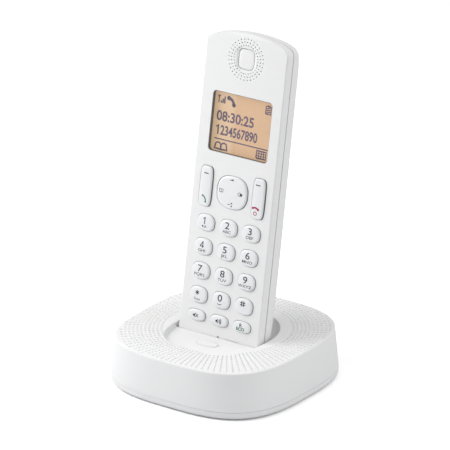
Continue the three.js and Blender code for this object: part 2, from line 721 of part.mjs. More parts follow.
// One cell, standing on z = 0, with its nub upwards.
function batteryCell() {
  const barrel = cell.length - cell.nubLength;
  const profile = [
    new THREE.Vector2(0, 0),
    new THREE.Vector2(cell.width / 2 - cell.shoulder, 0),
    new THREE.Vector2(cell.width / 2, cell.shoulder),
    new THREE.Vector2(cell.width / 2, barrel - cell.shoulder),
    new THREE.Vector2(cell.width / 2 - cell.shoulder, barrel),
    new THREE.Vector2(cell.nub / 2, barrel),
    new THREE.Vector2(cell.nub / 2, cell.length),
    new THREE.Vector2(0, cell.length),
  ];
  return new THREE.LatheGeometry(profile, segments.round).rotateX(Math.PI / 2);
}

const cellDepth = trayBack + gap + cell.width / 2;

function contactPlate(bottom) {
  const half = cellPlate.width / 2;
  const front = cellDepth - cellPlate.height / 2;
  return block(at(-half, front, bottom), at(half, front + cellPlate.height, bottom + cellPlate.thick));
}

function terminalStrip(hand) {
  const x = hand * terminal.x;
  const bottom = handset.wall + gap;
  const front = terminal.y - terminal.depth / 2;
  const half = terminal.width / 2;
  const corner = at(x - half, front, bottom);
  const strip = block(corner, at(x + half, front + terminal.depth, bottom + terminal.thick));
  const riser = block(corner, at(x + half, front + terminal.thick, bottom + terminal.riser));
  return join(solid(strip), solid(riser));
}

const ringerFront = () => {
  const edge = ringer.width / 2;
  return backDepth(edge, ringer.z + edge) - handset.wall - gap - ringer.thick;
};

// Finishes

function paint(color, roughness, metalness = 0) {
  return new THREE.MeshStandardMaterial({ color, roughness, metalness });
}

const finish = {
  casing: paint('#ebeced', 0.42),
  shelf: paint('#e6e7e8', 0.3),
  keys: paint('#eeefef', 0.5),
  rubber: paint('#5b5d60', 0.85),
  board: paint('#2f6b46', 0.6),
  glass: paint('#d9b08c', 0.15),
  backlight: paint('#e1b991', 0.4),
  steel: paint('#b9bcc0', 0.3, 1),
  gold: paint('#c9a65a', 0.3, 1),
  black: paint('#2b2c2e', 0.5),
  cell: paint('#8fa3a8', 0.35),
};

// Assembly

const phone = new THREE.Group();
const standing = new THREE.Group();
const leaning = new THREE.Group();
standing.position.z = foot.proud;
leaning.position.set(0, seat.y, seat.z);
leaning.rotation.x = -lean;
phone.add(standing);
standing.add(leaning);

function place(parent, name, shape, material, position = at(0, 0, 0)) {
  const geometry = shape.isBufferGeometry ? shape : geometryOf(shape);
  const mesh = new THREE.Mesh(geometry, material);
  mesh.name = name;
  mesh.position.copy(position);
  parent.add(mesh);
  return mesh;
}

function addBase() {
  place(standing, 'base_top_housing', baseTopHousing(), finish.casing);
  place(standing, 'base_bottom_cover', baseBottomCover(), finish.casing);
  place(standing, 'base_circuit_board', baseCircuitBoard(), finish.board);
  place(standing, 'line_jack', lineJackBody(), finish.black, at(lineJack.x, 0, 0));
  place(standing, 'dc_inlet', dcInletBody(), finish.black, at(dcInlet.x, 0, 0));
  place(standing, 'finder_switch', finderSwitchBody(), finish.black);
  place(standing, 'finder_button', finderButton(), finish.casing);
  cornerPlaces(foot.x, footY).forEach(([x, y], index) => {
    const pad = post(x, y, -foot.proud, foot.thick - foot.proud, foot.width);
    place(standing, `base_foot_${index + 1}`, pad, finish.rubber);
  });
  cornerPlaces(screwPlace, screwPlace).forEach(([x, y], index) => {
    const shape = screw(baseScrew.head, baseScrew.headThick, baseScrew.shank, baseScrew.length);
    place(standing, `base_screw_${index + 1}`, shape, finish.steel, at(x, y, gap));
  });
  place(leaning, 'charge_pin_left', chargePin(-1), finish.gold);
  place(leaning, 'charge_pin_right', chargePin(1), finish.gold);
}

function addKeys() {
  for (const { name, x, z, shape } of keyPlaces()) {
    place(leaning, name, capOnFace(x, z, shape, key.proud, keyFlange), finish.keys);
  }
  for (const [name, hand] of [['talk_rocker', -1], ['off_rocker', 1]]) {
    place(leaning, name, capOnFace(hand * barX, bar.z, barShape, bar.proud, barFlange), finish.keys);
  }
  place(leaning, 'navigation_key', capOnFace(0, nav.z, navShape, nav.proud, navFlange), finish.keys);
  const carrierBack = boardFront - gap;
  const carrier = peg(0, nav.z, carrierBack - navCarrier.thick, carrierBack, navCarrier.width);
  place(leaning, 'navigation_carrier', carrier, finish.rubber);
}

function addHandsetShells() {
  place(leaning, 'handset_front_case', frontCase(), finish.casing);
  place(leaning, 'handset_rear_case', rearCase(), finish.casing);
  place(leaning, 'battery_cover', batteryCoverShell(), finish.casing);
  place(leaning, 'display_window', displayWindow(), finish.glass);
}

function addHandsetInsides() {
  place(leaning, 'display_module', displayModule(), finish.backlight);
  place(leaning, 'keypad_mat', keypadMat(), finish.rubber);
  place(leaning, 'handset_circuit_board', handsetBoard(), finish.board);
  place(leaning, 'ear_speaker', peg(0, ear.z, flangeFront, boardFront - gap, ear.speaker), finish.black);
  const microphone = peg(0, mic.z, flangeFront, boardFront - gap, mic.width, segments.small);
  place(leaning, 'microphone', microphone, finish.steel);
  const ringerBack = ringerFront() + ringer.thick;
  place(leaning, 'ringer_speaker', peg(0, ringer.z, ringerFront(), ringerBack, ringer.width), finish.black);
  place(leaning, 'charge_terminal_left', terminalStrip(-1), finish.gold);
  place(leaning, 'charge_terminal_right', terminalStrip(1), finish.gold);
  const headBack = trayFront + caseScrew.seatThick + gap + caseScrew.headThick;
  for (const [name, hand] of [['case_screw_left', -1], ['case_screw_right', 1]]) {
    const shape = screw(caseScrew.head, caseScrew.headThick, caseScrew.shank, caseScrew.length);
    const middle = at(hand * caseScrewX, headBack, caseScrew.z);
    place(leaning, name, shape.rotateX(Math.PI / 2), finish.steel, middle);
  }
}

function addBattery() {
  const cellX = (cell.width + cell.apart) / 2;
  const cellBottom = tray.bottom + cellPlate.thick + 2 * gap;
  place(leaning, 'battery_cell_left', batteryCell(), finish.cell, at(-cellX, cellDepth, cellBottom));
  const turned = batteryCell().rotateX(Math.PI);
  place(leaning, 'battery_cell_right', turned, finish.cell, at(cellX, cellDepth, cellBottom + cell.length));
  place(leaning, 'battery_plate_lower', contactPlate(tray.bottom + gap), finish.steel);
  place(leaning, 'battery_plate_upper', contactPlate(trayTop - gap - cellPlate.thick), finish.steel);
}

addBase();
addHandsetShells();
addHandsetInsides();
addBattery();
addKeys();

export default phone;
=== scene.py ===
# %% [markdown]
# # A cordless phone leaning in its base
# The packed model gives the pieces at their real size. This lesson dresses them: it rebuilds the
# visible shells as fine surfaces worked out with numpy, prints the keys and the display, and
# lights the whole softly, as in a catalogue picture. Blender works in metres; the sizes below are
# in millimetres, as in a drawing of the phone, and MM turns them into metres.

# %% Load the frame
import math
from types import SimpleNamespace as Sizes

import bmesh
import bpy
import numpy as np
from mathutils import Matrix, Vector


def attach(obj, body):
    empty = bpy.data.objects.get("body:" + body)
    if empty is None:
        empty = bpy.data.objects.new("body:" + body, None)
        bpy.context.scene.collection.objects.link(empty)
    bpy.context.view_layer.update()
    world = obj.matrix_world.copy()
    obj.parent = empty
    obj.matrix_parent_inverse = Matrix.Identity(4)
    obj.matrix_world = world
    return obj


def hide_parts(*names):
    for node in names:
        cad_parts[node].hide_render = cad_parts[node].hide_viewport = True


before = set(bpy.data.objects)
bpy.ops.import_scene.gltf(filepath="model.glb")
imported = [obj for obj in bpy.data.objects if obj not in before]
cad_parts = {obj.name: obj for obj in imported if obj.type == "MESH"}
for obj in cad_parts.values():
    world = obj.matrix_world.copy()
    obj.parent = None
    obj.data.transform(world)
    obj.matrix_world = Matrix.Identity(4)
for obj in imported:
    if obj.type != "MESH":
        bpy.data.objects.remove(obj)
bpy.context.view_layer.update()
MM = 0.001

# %% [markdown]
# ## Camera
# The key rows, the display and the base's outlines in the photograph fix where the camera stood:
# about 36 degrees round to the right, 21 degrees up and far away, with a long lens.


# %% Place the camera
def look_at(thing, target, azimuth, elevation, distance):
    """Adds a camera or a lamp that looks at a target from an azimuth and an elevation in degrees."""
    a, e = math.radians(azimuth), math.radians(elevation)
    away = Vector((math.sin(a) * math.cos(e), -math.cos(a) * math.cos(e), math.sin(e)))
    thing.location = target + away * distance
    thing.rotation_euler = away.to_track_quat("Z", "Y").to_euler()
    bpy.context.scene.collection.objects.link(thing)


camera_data = bpy.data.cameras.new("camera")
camera_data.lens, camera_data.sensor_width, camera_data.clip_end = 355.8, 36.0, 20.0
camera = bpy.data.objects.new("camera", camera_data)
look_at(camera, Vector((-0.10, 0.06, 79.65)) * MM, 35.62, 21.365, 2163 * MM)
bpy.context.scene.camera = camera
print("camera at", [round(value, 3) for value in camera.location])

# %% [markdown]
# ## Sizes
# The base is a rounded square, a superellipse. The handset has a flat face and an elliptical
# back. These are the CAD model's own driving sizes, so each new shell lies on its solid. Only the
# rear of the well is drawn in, because in the photograph it passes close behind the handset.

# %% Driving sizes of the base and the handset
FOOT = 0.4
BASE = Sizes(half=49.9, top_half=48.3, front_top=23.5, rear_top=25.1, edge=0.9, seam=4.0, wall=2.0, bend=3.09)
WELL = Sizes(half_width=25.7, reach=31.0, rear_reach=26.0, middle=2.0, drop=2.2, front_bend=3.0,
             rear_bend=2.0, fillet=1.2, rim=0.5)
BOWL = Sizes(half_width=24.7, reach=15.0, rear_reach=15.0, floor=14.0, curl=1.75)
SEAT = Sizes(y=-7.64, z=13.37 + FOOT, clearance=0.35, lean=math.radians(9.7))
HAND = Sizes(half=24.0, length=160.6, low_depth=20.5, deepest=23.4, deepest_at=40.0, top_depth=21.6,
             side=5.0, front_edge=0.8, low_round=4.0, top_round=2.0, back_round=15.0, crown=7.4,
             crown_along=2.8, crown_across=1.72, back_bend=2.4, wall=1.8, parting=5.1)
GAP = 0.3  # between neighbouring pieces
OVER, WIDE, FAR = 6.0, 50, 60  # how far cutting shapes reach past what they cut
UP = np.array([0, math.sin(SEAT.lean), math.cos(SEAT.lean)])
BACK = np.array([0, math.cos(SEAT.lean), -math.sin(SEAT.lean)])


def leaned(points):
    """Handset points (x, depth behind the face, height), leaned back and set on the base."""
    points = np.asarray(points, float)
    seat = np.array([0, SEAT.y, SEAT.z])
    return seat + points[..., :1] * [1, 0, 0] + points[..., 1:2] * BACK + points[..., 2:3] * UP


def raised(points):
    """Base points, lifted onto the feet."""
    return np.asarray(points, float) + [0, 0, FOOT]


print("handset axis:", UP.round(4))

# %% [markdown]
# ## Surfaces from arrays
# A surface here is a stack of rings with equal numbers of points. Joining neighbours gives quads,
# and a flat polygon closes each end. A shape is then an array of points and a list of faces. Its
# signed volume, the sum of a sixth of each triangle's triple product, shows if it is inside out.


# %% Rings to closed shapes
def ring_quads(rows, columns):
    """Quads between neighbouring points of a grid whose rows close on themselves."""
    here = np.arange(rows - 1)[:, None] * columns + np.arange(columns)
    after = np.roll(here, -1, axis=1)
    return np.stack([here, after, after + columns, here + columns], -1).reshape(-1, 4)


def fan(loop):
    """Triangles that fan out over a polygon from its first corner."""
    return np.stack([np.full(len(loop) - 2, loop[0]), loop[1:-1], loop[2:]], -1)


def loft(rings, place=raised):
    """A closed skin through rings, an array of (ring, point, xyz), with a flat polygon over each end."""
    rings = place(rings)
    rows, columns = rings.shape[:2]
    points = rings.reshape(-1, 3)
    quads = ring_quads(rows, columns)
    lids = [np.arange(columns)[::-1], np.arange((rows - 1) * columns, rows * columns)]
    triangles = points[np.concatenate([quads[:, :3], quads[:, [0, 2, 3]], fan(lids[0]), fan(lids[1])])]
    volume = np.einsum("ij,ij->i", triangles[:, 0], np.cross(triangles[:, 1], triangles[:, 2])).sum()
    faces = quads.tolist() + [lid.tolist() for lid in lids]
    return points, [face[::-1] for face in faces] if volume < 0 else faces


def strung(steps, first=0, second=0, place=raised, deep=False):
    """A shape through (outline, place on the axis) steps; the axis is upright, or runs front to back."""
    rings = []
    for line, along in steps:
        a, b, c = first + line[:, 0], second + line[:, 1], np.full(len(line), along)
        rings.append(np.column_stack([a, c, b] if deep else [a, b, c]))
    return loft(rings, place)


def circle(radius, count):
    turn = np.linspace(0, 2 * math.pi, count, endpoint=False)
    return np.column_stack([radius * np.cos(turn), radius * np.sin(turn)])


def turned(levels, first, second, place=raised, deep=False, count=40):
    """A turned shape: circles through (radius, place on the axis) levels."""
    return strung([(circle(radius, count), along) for radius, along in levels], first, second, place, deep)


def block(low, high, place=raised):
    """A box between its lowest and highest corners."""
    (x0, y0, z0), (x1, y1, z1) = low, high
    outline = np.array([[x0, y0], [x1, y0], [x1, y1], [x0, y1]])
    return strung([(outline, z0), (outline, z1)], place=place)


def post(x, y, bottom, top, width, count=32):
    """An upright round bar in the base."""
    return turned([(width / 2, bottom), (width / 2, top)], x, y, count=count)


def peg(x, z, front, back, width, count=32):
    """A round bar that runs from the handset's face backwards."""
    return turned([(width / 2, front), (width / 2, back)], x, z, leaned, True, count)


def solid(name, *shapes):
    """One mesh object from shapes in millimetres."""
    starts = np.cumsum([0] + [len(points) for points, _ in shapes]).tolist()
    points = np.concatenate([points for points, _ in shapes]) * MM
    faces = [[corner + start for corner in face]
             for start, (_, faces) in zip(starts, shapes) for face in faces]
    mesh = bpy.data.meshes.new(name)
    mesh.from_pydata(points.tolist(), [], faces)
    made = bpy.data.objects.new(name, mesh)
    bpy.context.scene.collection.objects.link(made)
    return made


# %% [markdown]
# ## Cutting and shading
# Openings are cut with Boolean modifiers that are applied at once, so a plain mesh remains. Then
# edges sharper than an angle are marked sharp, and the rest shades smoothly. Weighted normals
# keep the large flat faces flat right up to their rounded edges.


# %% Boolean steps and smooth shading
def combine(target, operation, tools):
    """Applies one Boolean step for each tool and removes the tools."""
    for tool in tools:
        step = target.modifiers.new("step", "BOOLEAN")
        step.operation, step.object, step.solver = operation, tool, "MANIFOLD"
    graph = bpy.context.evaluated_depsgraph_get()
    mesh = bpy.data.meshes.new_from_object(target.evaluated_get(graph))
    target.modifiers.clear()
    old, target.data = target.data, mesh
    bpy.data.meshes.remove(old)
    mesh.name = target.name
    for tool in tools:
        bpy.data.meshes.remove(tool.data)
    return target


def cut(target, *tools):
    return combine(target, "DIFFERENCE", tools)


def join(target, *tools):
    return combine(target, "UNION", tools)


def keep(target, *tools):
    return combine(target, "INTERSECT", tools)


SHARP_FROM = 32  # degrees between two faces


def two_tones(piece, first, second, where):
    """Two materials on one piece: the second lies on the faces where the mask is true."""
    for material in (first, second):
        piece.data.materials.append(material)
    piece.data.polygons.foreach_set("material_index", where.astype(np.int32))


def in_rows(piece, count, rows):
    """A mask of the faces that lie in some of a piece's rows, with count faces in each row."""
    return np.isin(np.arange(len(piece.data.polygons)) // count, rows)


def finish_piece(piece, material, body, slot, *nodes):
    """Shades a piece, gives it its material unless it has one, sets it on the body that carries it and hides
    the packed nodes that it takes the place of. The slot is not used.
    """
    mesh = piece.data
    if not mesh.materials:
        mesh.materials.append(material)
    mesh.shade_smooth()
    mesh.set_sharp_from_angle(angle=math.radians(SHARP_FROM))
    weighted = piece.modifiers.new("weighted", "WEIGHTED_NORMAL")
    weighted.keep_sharp = True
    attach(piece, body)
    if nodes:
        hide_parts(*nodes)
    print(f"{piece.name}: {len(mesh.polygons)} faces, rides on {body}")
    return piece


# %% [markdown]
# ## Moulded plastic
# The phone is satin white plastic. Close up it isn't one flat colour: the mould leaves a fine
# grain, and the gloss varies a little. One node group makes this for every plastic here. It puts
# out a height for a Bump node, and a mottling that shifts the roughness.


# %% Node helpers and the grain group
def set_values(node, **values):
    """Sets values of a node, on sockets where the name is a socket's."""
    for name, value in values.items():
        socket = node.inputs.get(name.replace("_", " "))
        if socket is None:
            setattr(node, name, value)
        else:
            socket.default_value = value
    return node


def add_node(tree, kind, **values):
    return set_values(tree.nodes.new(kind), **values)


def wire(tree, *links):
    """Links nodes; each link names a node and its output, then a node and its input."""
    for start, output, end, socket in links:
        tree.links.new(start.outputs[output], end.inputs[socket])


def new_material(name):
    """A material, its node tree and its Principled node."""
    material = bpy.data.materials.new(name)
    material.use_nodes = True
    return material, material.node_tree, material.node_tree.nodes["Principled BSDF"]


def build_grain_group():
    """Height: fine noise. Mottle: broad noise, mapped to lie between the values Low and High."""
    group = bpy.data.node_groups.new("moulded_grain", "ShaderNodeTree")
    for name, value in (("Grain Scale", 2600.0), ("Mottle Scale", 45.0), ("Low", 0.4), ("High", 0.5)):
        socket = group.interface.new_socket(name=name, in_out="INPUT", socket_type="NodeSocketFloat")
        socket.default_value = value
    for name in ("Height", "Mottle"):
        group.interface.new_socket(name=name, in_out="OUTPUT", socket_type="NodeSocketFloat")
    start, end = add_node(group, "NodeGroupInput"), add_node(group, "NodeGroupOutput")
    place = add_node(group, "ShaderNodeTexCoord")
    grain = add_node(group, "ShaderNodeTexNoise", Detail=2.0, Roughness=0.6)
    mottle = add_node(group, "ShaderNodeTexNoise", Detail=3.0, Roughness=0.55)
    spread = add_node(group, "ShaderNodeMapRange")
    wire(group, (place, "Object", grain, "Vector"), (start, "Grain Scale", grain, "Scale"),
         (place, "Object", mottle, "Vector"), (start, "Mottle Scale", mottle, "Scale"),
         (mottle, "Fac", spread, "Value"), (start, "Low", spread, "To Min"),
         (start, "High", spread, "To Max"), (grain, "Fac", end, "Height"), (spread, "Result", end, "Mottle"))
    return group


grain_group = build_grain_group()


# %% Materials from the grain group
def srgb(r, g, b):
    """Screen values from 0 to 255 as the linear colour that shaders expect."""
    value = np.array([r, g, b]) / 255
    return (*np.where(value <= 0.04045, value / 12.92, ((value + 0.055) / 1.055) ** 2.4).tolist(), 1.0)


def add_grain(tree, low, high, grain_scale=2600.0):
    """The grain group in a material, with the roughness that it gives set from low to high."""
    return add_node(tree, "ShaderNodeGroup", node_tree=grain_group, Grain_Scale=grain_scale, Low=low, High=high)


def plastic(name, tone, low, high, grain_scale=2600.0, bump=0.05, metallic=0.0):
    """One tone with a faint mottling, a roughness between low and high, and the grain as relief."""
    material, tree, principled = new_material(name)
    set_values(principled, Metallic=metallic)
    grain = add_grain(tree, low, high, grain_scale)
    shade = add_node(tree, "ShaderNodeMapRange", From_Min=low, From_Max=high, To_Min=0.98, To_Max=1.0)
    tint = add_node(tree, "ShaderNodeVectorMath", operation="SCALE")
    tint.inputs[0].default_value = srgb(*tone)[:3]
    relief = add_node(tree, "ShaderNodeBump", Strength=bump, Distance=0.0002)
    wire(tree, (grain, "Mottle", shade, "Value"), (shade, "Result", tint, "Scale"),
         (tint, "Vector", principled, "Base Color"), (grain, "Mottle", principled, "Roughness"),
         (grain, "Height", relief, "Height"), (relief, "Normal", principled, "Normal"))
    return material


handset_white = plastic("satin_white_handset", (238, 239, 240), 0.36, 0.46)
base_white = plastic("satin_white_base", (240, 241, 242), 0.36, 0.46)
# The rear case is the same white plastic as the front; its darker tone is painted shade for the handset's less
# lit back.
rear_white_painted_shade = plastic("satin_white_rear_case_painted_shade", (219, 220, 221), 0.38, 0.48)
# The keys are the same white plastic as the case; their slightly darker tone is painted shade that evens them
# with the face.
key_white_painted_shade = plastic("satin_white_keys", (228, 229, 231), 0.34, 0.42)
rubber = plastic("dark_rubber", (70, 72, 75), 0.7, 0.85, 900.0, 0.2)
black = plastic("black_socket_plastic", (38, 39, 41), 0.4, 0.55)
board_green = plastic("circuit_board_lacquer", (38, 92, 60), 0.3, 0.45, 500.0, 0.1)
steel = plastic("bright_steel", (178, 181, 185), 0.22, 0.34, 1500.0, 0.04, 1.0)
gold = plastic("plated_contact", (205, 170, 110), 0.22, 0.34, 1500.0, 0.04, 1.0)
cell_sleeve = plastic("cell_sleeve", (120, 150, 158), 0.25, 0.35)
grey_ink = plastic("grey_legend_ink", (50, 52, 58), 0.45, 0.55)
green_ink = plastic("green_legend_ink", (6, 104, 70), 0.45, 0.55)
red_ink = plastic("crimson_legend_ink", (150, 8, 66), 0.45, 0.55)
print("materials:", len(bpy.data.materials))

# %% [markdown]
# ## The base's outlines
# A superellipse in polar form: the radius is the half side over the n-th root of |cos|^n + |sin|^n.
# The well in the top is an egg: the same formula, with one exponent for its blunt front half and
# another for its rounder rear half. Rounded edges are quarter circles, followed ring by ring.


# %% Outlines of the base
AROUND = np.linspace(0, 2 * math.pi, 288, endpoint=False)


def quarter_round(inward, fall, count=7):
    """Steps of a rounded edge: how far it has drawn in, and how far it is below its top."""
    turns = np.linspace(0, math.pi / 2, count)
    return [(inward * (1 - math.cos(turn)), fall * (1 - math.sin(turn))) for turn in turns]


def square_radius(angle, half):
    """Distance of the rounded square from its middle, by polar angle."""
    c, s = np.abs(np.cos(angle)), np.abs(np.sin(angle))
    return half / (c ** BASE.bend + s ** BASE.bend) ** (1 / BASE.bend)


def polar_ring(radius, middle, height):
    """A ring round (0, middle) by its radii; the height is a number or a function of y."""
    x, y = radius * np.cos(AROUND), middle + radius * np.sin(AROUND)
    return np.column_stack([x, y, height(y) if callable(height) else np.full(len(x), height)])


def square_ring(half, height):
    """A ring of the rounded square."""
    return polar_ring(square_radius(AROUND, half), 0, height)


def egg_ring(half_width, front, rear, height):
    """A ring of the well's egg."""
    c, s = np.cos(AROUND), np.sin(AROUND)
    bend = np.where(s > 0, WELL.rear_bend, WELL.front_bend)
    reach = np.where(s > 0, rear, front)
    radius = (np.abs(c / half_width) ** bend + np.abs(s / reach) ** bend) ** (-1 / bend)
    return polar_ring(radius, WELL.middle, height)


def top_height(y):
    """Height of the base's gently tilted top, above the underside."""
    share = (y + BASE.top_half) / (2 * BASE.top_half)
    return BASE.front_top + share * (BASE.rear_top - BASE.front_top)


def base_form(inset, bottom):
    """The base's outer form, drawn in: a flared wall, then a quarter round up to the tilted top."""
    rings = [square_ring(BASE.half - inset, bottom)]
    for inward, fall in quarter_round(BASE.edge, BASE.edge):
        rings.append(square_ring(BASE.top_half - inset - inward, lambda y: top_height(y) - inset - fall))
    return loft(rings)


def well_sizes(part):
    return part.half_width, part.reach, part.rear_reach


def shelf_form(margin):
    """The shallow recess: a floor, a quarter round, an upright wall and a rounded rim, grown by a margin."""
    fillet, rim = WELL.fillet, WELL.rim
    steps = [(-fall, inward - WELL.drop - margin) for inward, fall in quarter_round(fillet, fillet)]
    steps += [(inward, -fall) for inward, fall in quarter_round(rim, rim)] + [(rim, OVER)]
    rings = []
    for grow, rise in steps:
        sides = [size + grow + margin for size in well_sizes(WELL)]
        rings.append(egg_ring(*sides, lambda y: top_height(y) + rise))
    return loft(rings)


def bowl_form(margin):
    """The bowl behind the handset: its reach grows with height as 1 - (1 - share)^curl."""
    rings = []
    bottom, sizes = BOWL.floor - margin, list(zip(well_sizes(BOWL), well_sizes(WELL)))
    for share in np.linspace(0, 1, 18):
        spread = 1 - (1 - share) ** BOWL.curl
        sides = [low + (high - low) * spread + margin for low, high in sizes]
        rings.append(egg_ring(*sides, bottom + (BASE.front_top + GAP - bottom) * share))
    return loft(rings)


print("base top at the front and rear:", top_height(np.array([-48.3, 48.3])))

# %% [markdown]
# ## The handset's form
# One cross-section has a flat front, rounded front edges, short straight sides and half a
# superellipse as its back. The back's ridge is deepest where the hand holds it. Towards the crown
# the section narrows as a superellipse, and both ends are rounded over by a quarter circle.


# %% Sections of the handset
def ridge_depth(height):
    """Depth of the back's ridge: it falls by a smooth step to the top and by a parabola to the foot."""
    share = np.clip((height - HAND.deepest_at) / (HAND.length - HAND.deepest_at), 0, 1)
    upper = HAND.deepest + (HAND.top_depth - HAND.deepest) * share**2 * (3 - 2 * share)
    lower = HAND.deepest + (HAND.low_depth - HAND.deepest) * (1 - height / HAND.deepest_at) ** 2
    return np.where(height > HAND.deepest_at, upper, lower)


def drawn_in(distance, radius):
    """How far a rounded end has drawn in, at a distance from its tip."""
    left = np.maximum(radius - distance, 0)
    return radius - np.sqrt(np.maximum(radius**2 - left**2, 0))


def handset_form(inset):
    """The handset's outer form, drawn in by an inset, or grown where the inset is negative."""
    tip = HAND.length - inset
    crown_start = HAND.length - HAND.crown
    low_part = inset + HAND.low_round * (1 - np.cos(np.linspace(0, math.pi / 2, 9)))
    body = np.linspace(low_part[-1], crown_start, 34)[1:]
    crown_part = crown_start + (tip - crown_start) * np.sin(np.linspace(0, math.pi / 2, 30))[1:]
    height = np.concatenate([low_part, body, crown_part])[:, None]
    crown_share = np.clip((height - crown_start) / (tip - crown_start), 0, 0.999)
    crown = (1 - crown_share ** HAND.crown_along) ** (1 / HAND.crown_across)
    low, high = drawn_in(height - inset, HAND.low_round), drawn_in(tip - height, HAND.top_round)
    half = (HAND.half - inset - low) * crown
    front = inset + low + high
    depth = ridge_depth(height) - inset - low - drawn_in(tip - height, HAND.back_round)
    depth = np.maximum(depth, front + 1.5)
    radius = np.minimum(max(HAND.front_edge - inset, HAND.front_edge / 4), half / 2)
    side = np.minimum(np.maximum(HAND.side, front + radius + GAP), depth - GAP)
    corner = np.linspace(0, math.pi / 2, 8)
    left_x, left_y = -(half - radius + radius * np.cos(corner)), front + radius - radius * np.sin(corner)
    back = np.linspace(0, math.pi, 61)
    bend = 2 / HAND.back_bend
    back_x = half * np.sign(np.cos(back)) * np.abs(np.cos(back)) ** bend
    back_y = side + (depth - side) * np.abs(np.sin(back)) ** bend
    x = np.concatenate([left_x, -left_x[:, ::-1], back_x], axis=1)
    y = np.concatenate([left_y, left_y[:, ::-1], back_y], axis=1)
    return loft(np.stack([x, y, np.broadcast_to(height, x.shape)], -1), leaned)


def slab(front, back, low=-OVER, high=HAND.length + OVER):
    """Part of the handset's space between two depths and two heights."""
    return block((-2 * HAND.half, front, low), (2 * HAND.half, back, high), leaned)


print("ridge depths:", ridge_depth(np.array([0.0, 40.0, 120.0, 162.0])).round(1))

# %% [markdown]
# ## Top of the base
# The real housing is one thin moulding: a flared wall, a top, and a well lined with its own wall.
# It is built the same way: the hollow is cut from the outer form, the well's linings are joined
# in, and the recess, the bowl, the pocket and the openings are cut out again.
#
# Its top carries rows of small dimples that run out from the well like rays. Seen from the front
# they merge into fine lines; from the side they stay rings of dots. They are real dents, made by
# one closed dimple of 18 faces, turned to its ray and set down many times as one array.

# %% Dimples on the top
RAYS, RINGS, RING_STEP, FIRST_RING, RIM_LEFT_PLAIN = 105, 12, 2.0, 32.3, 0.9


def dimple_places():
    """Polar places of the dimples, kept where they lie inside the top's edge."""
    rays, rings = np.arange(RAYS) * 2 * math.pi / RAYS, FIRST_RING + RING_STEP * np.arange(RINGS)
    angle, radius = [grid.ravel() for grid in np.meshgrid(rays, rings, indexing="ij")]
    x, y = radius * np.cos(angle), WELL.middle + radius * np.sin(angle)
    edge = square_radius(np.arctan2(y, x), BASE.top_half) - BASE.edge - RIM_LEFT_PLAIN
    inside = np.hypot(x, y) < edge
    return angle[inside], x[inside], y[inside]


def dimple_shapes(long=1.7, wide=1.1, deep=0.5, corners=8):
    """One shape that holds every dimple: each has three rings, from above the top down into it."""
    angle, x, y = dimple_places()
    turn = np.linspace(0, 2 * math.pi, corners, endpoint=False)
    levels = np.array([[1.0, 0.4], [1.0, 0.0], [0.7, -deep]])
    along = levels[:, :1] * long / 2 * np.cos(turn)
    across = levels[:, :1] * wide / 2 * np.sin(turn)
    c, s = np.cos(angle)[:, None, None], np.sin(angle)[:, None, None]
    px = x[:, None, None] + along * c - across * s
    py = y[:, None, None] + along * s + across * c
    pz = top_height(py) + levels[:, 1][:, None]
    points = raised(np.stack([px, py, pz], -1).reshape(-1, 3))
    size = len(levels) * corners
    lids = [list(range(corners))[::-1], list(range(size - corners, size))]
    one = ring_quads(len(levels), corners).tolist() + lids
    faces = [[corner + size * index for corner in face[::-1]] for index in range(len(angle)) for face in one]
    print("dimples:", len(angle))
    return points, faces


# %% Base housing
TERMINAL = (12.0, 10.0)
JACK, INLET = Sizes(x=-13.0, width=13.4, height=11.5), Sizes(x=13.0, width=9.0, height=10.6)
FACE, LIFT = BASE.half - BASE.wall, 6.1
FINDER = Sizes(y=-15.0, half_width=6.0, half_height=2.7, bend=2.6)
LINING, SLIVER, OVAL_POINTS = 2.0, 0.01, 64
finder_top = top_height(FINDER.y) - WELL.drop


def oval(half_width, half_height, bend):
    """A superellipse outline, with even steps of the parameter's angle."""
    turn = np.linspace(0, 2 * math.pi, OVAL_POINTS, endpoint=False)
    c, s = [np.sign(wave) * np.abs(wave) ** (2 / bend) for wave in (np.cos(turn), np.sin(turn))]
    return np.column_stack([half_width * c, half_height * s])


def grown(kind, across, up=None):
    """The oval of a kind of piece, grown across and up, or evenly where only one number is given."""
    up = across if up is None else up
    return oval(kind.half_width + across, kind.half_height + up, kind.bend)


def finder_shape(levels):
    """The finder button's oval, carried through levels of (growth, height above the shelf)."""
    return strung([(grown(FINDER, grow), finder_top + height) for grow, height in levels], 0, FINDER.y)


def rear_block(x, half_width, inward, outward, low, high):
    """A box by the rear wall's inner face, in heights above the sockets' lower side."""
    return block((x - half_width, FACE - inward, LIFT + low), (x + half_width, FACE + outward, LIFT + high))


def socket_opening(socket):
    """The box that a socket's body fills in the rear wall, with its gap."""
    return rear_block(socket.x, socket.width / 2 + GAP, OVER, OVER, -GAP, socket.height + GAP)


def contact_slots(half_width, half_depth, top):
    """The two slots round the charging contacts, in the handset's foot or in the floor under it."""
    x, y = TERMINAL
    low, high = (-half_width, y - half_depth, -OVER), (half_width, y + half_depth, top)
    return [block(np.array(low) + [side, 0, 0], np.array(high) + [side, 0, 0], leaned) for side in (-x, x)]


def pocket_form(margin):
    """The handset's lower end, grown by its clearance and a margin."""
    low = block((-WIDE, -WIDE, -OVER), (WIDE, WIDE, WIDE), leaned)
    return keep(solid("pocket", handset_form(-SEAT.clearance - margin)), solid("low", low))


def bowl_cut(margin):
    """The bowl, kept behind the handset's face."""
    behind = block((-WIDE, -SEAT.clearance - margin, -WIDE), (WIDE, 2 * WIDE, 2 * WIDE), leaned)
    return keep(solid("bowl", bowl_form(margin)), solid("behind", behind))


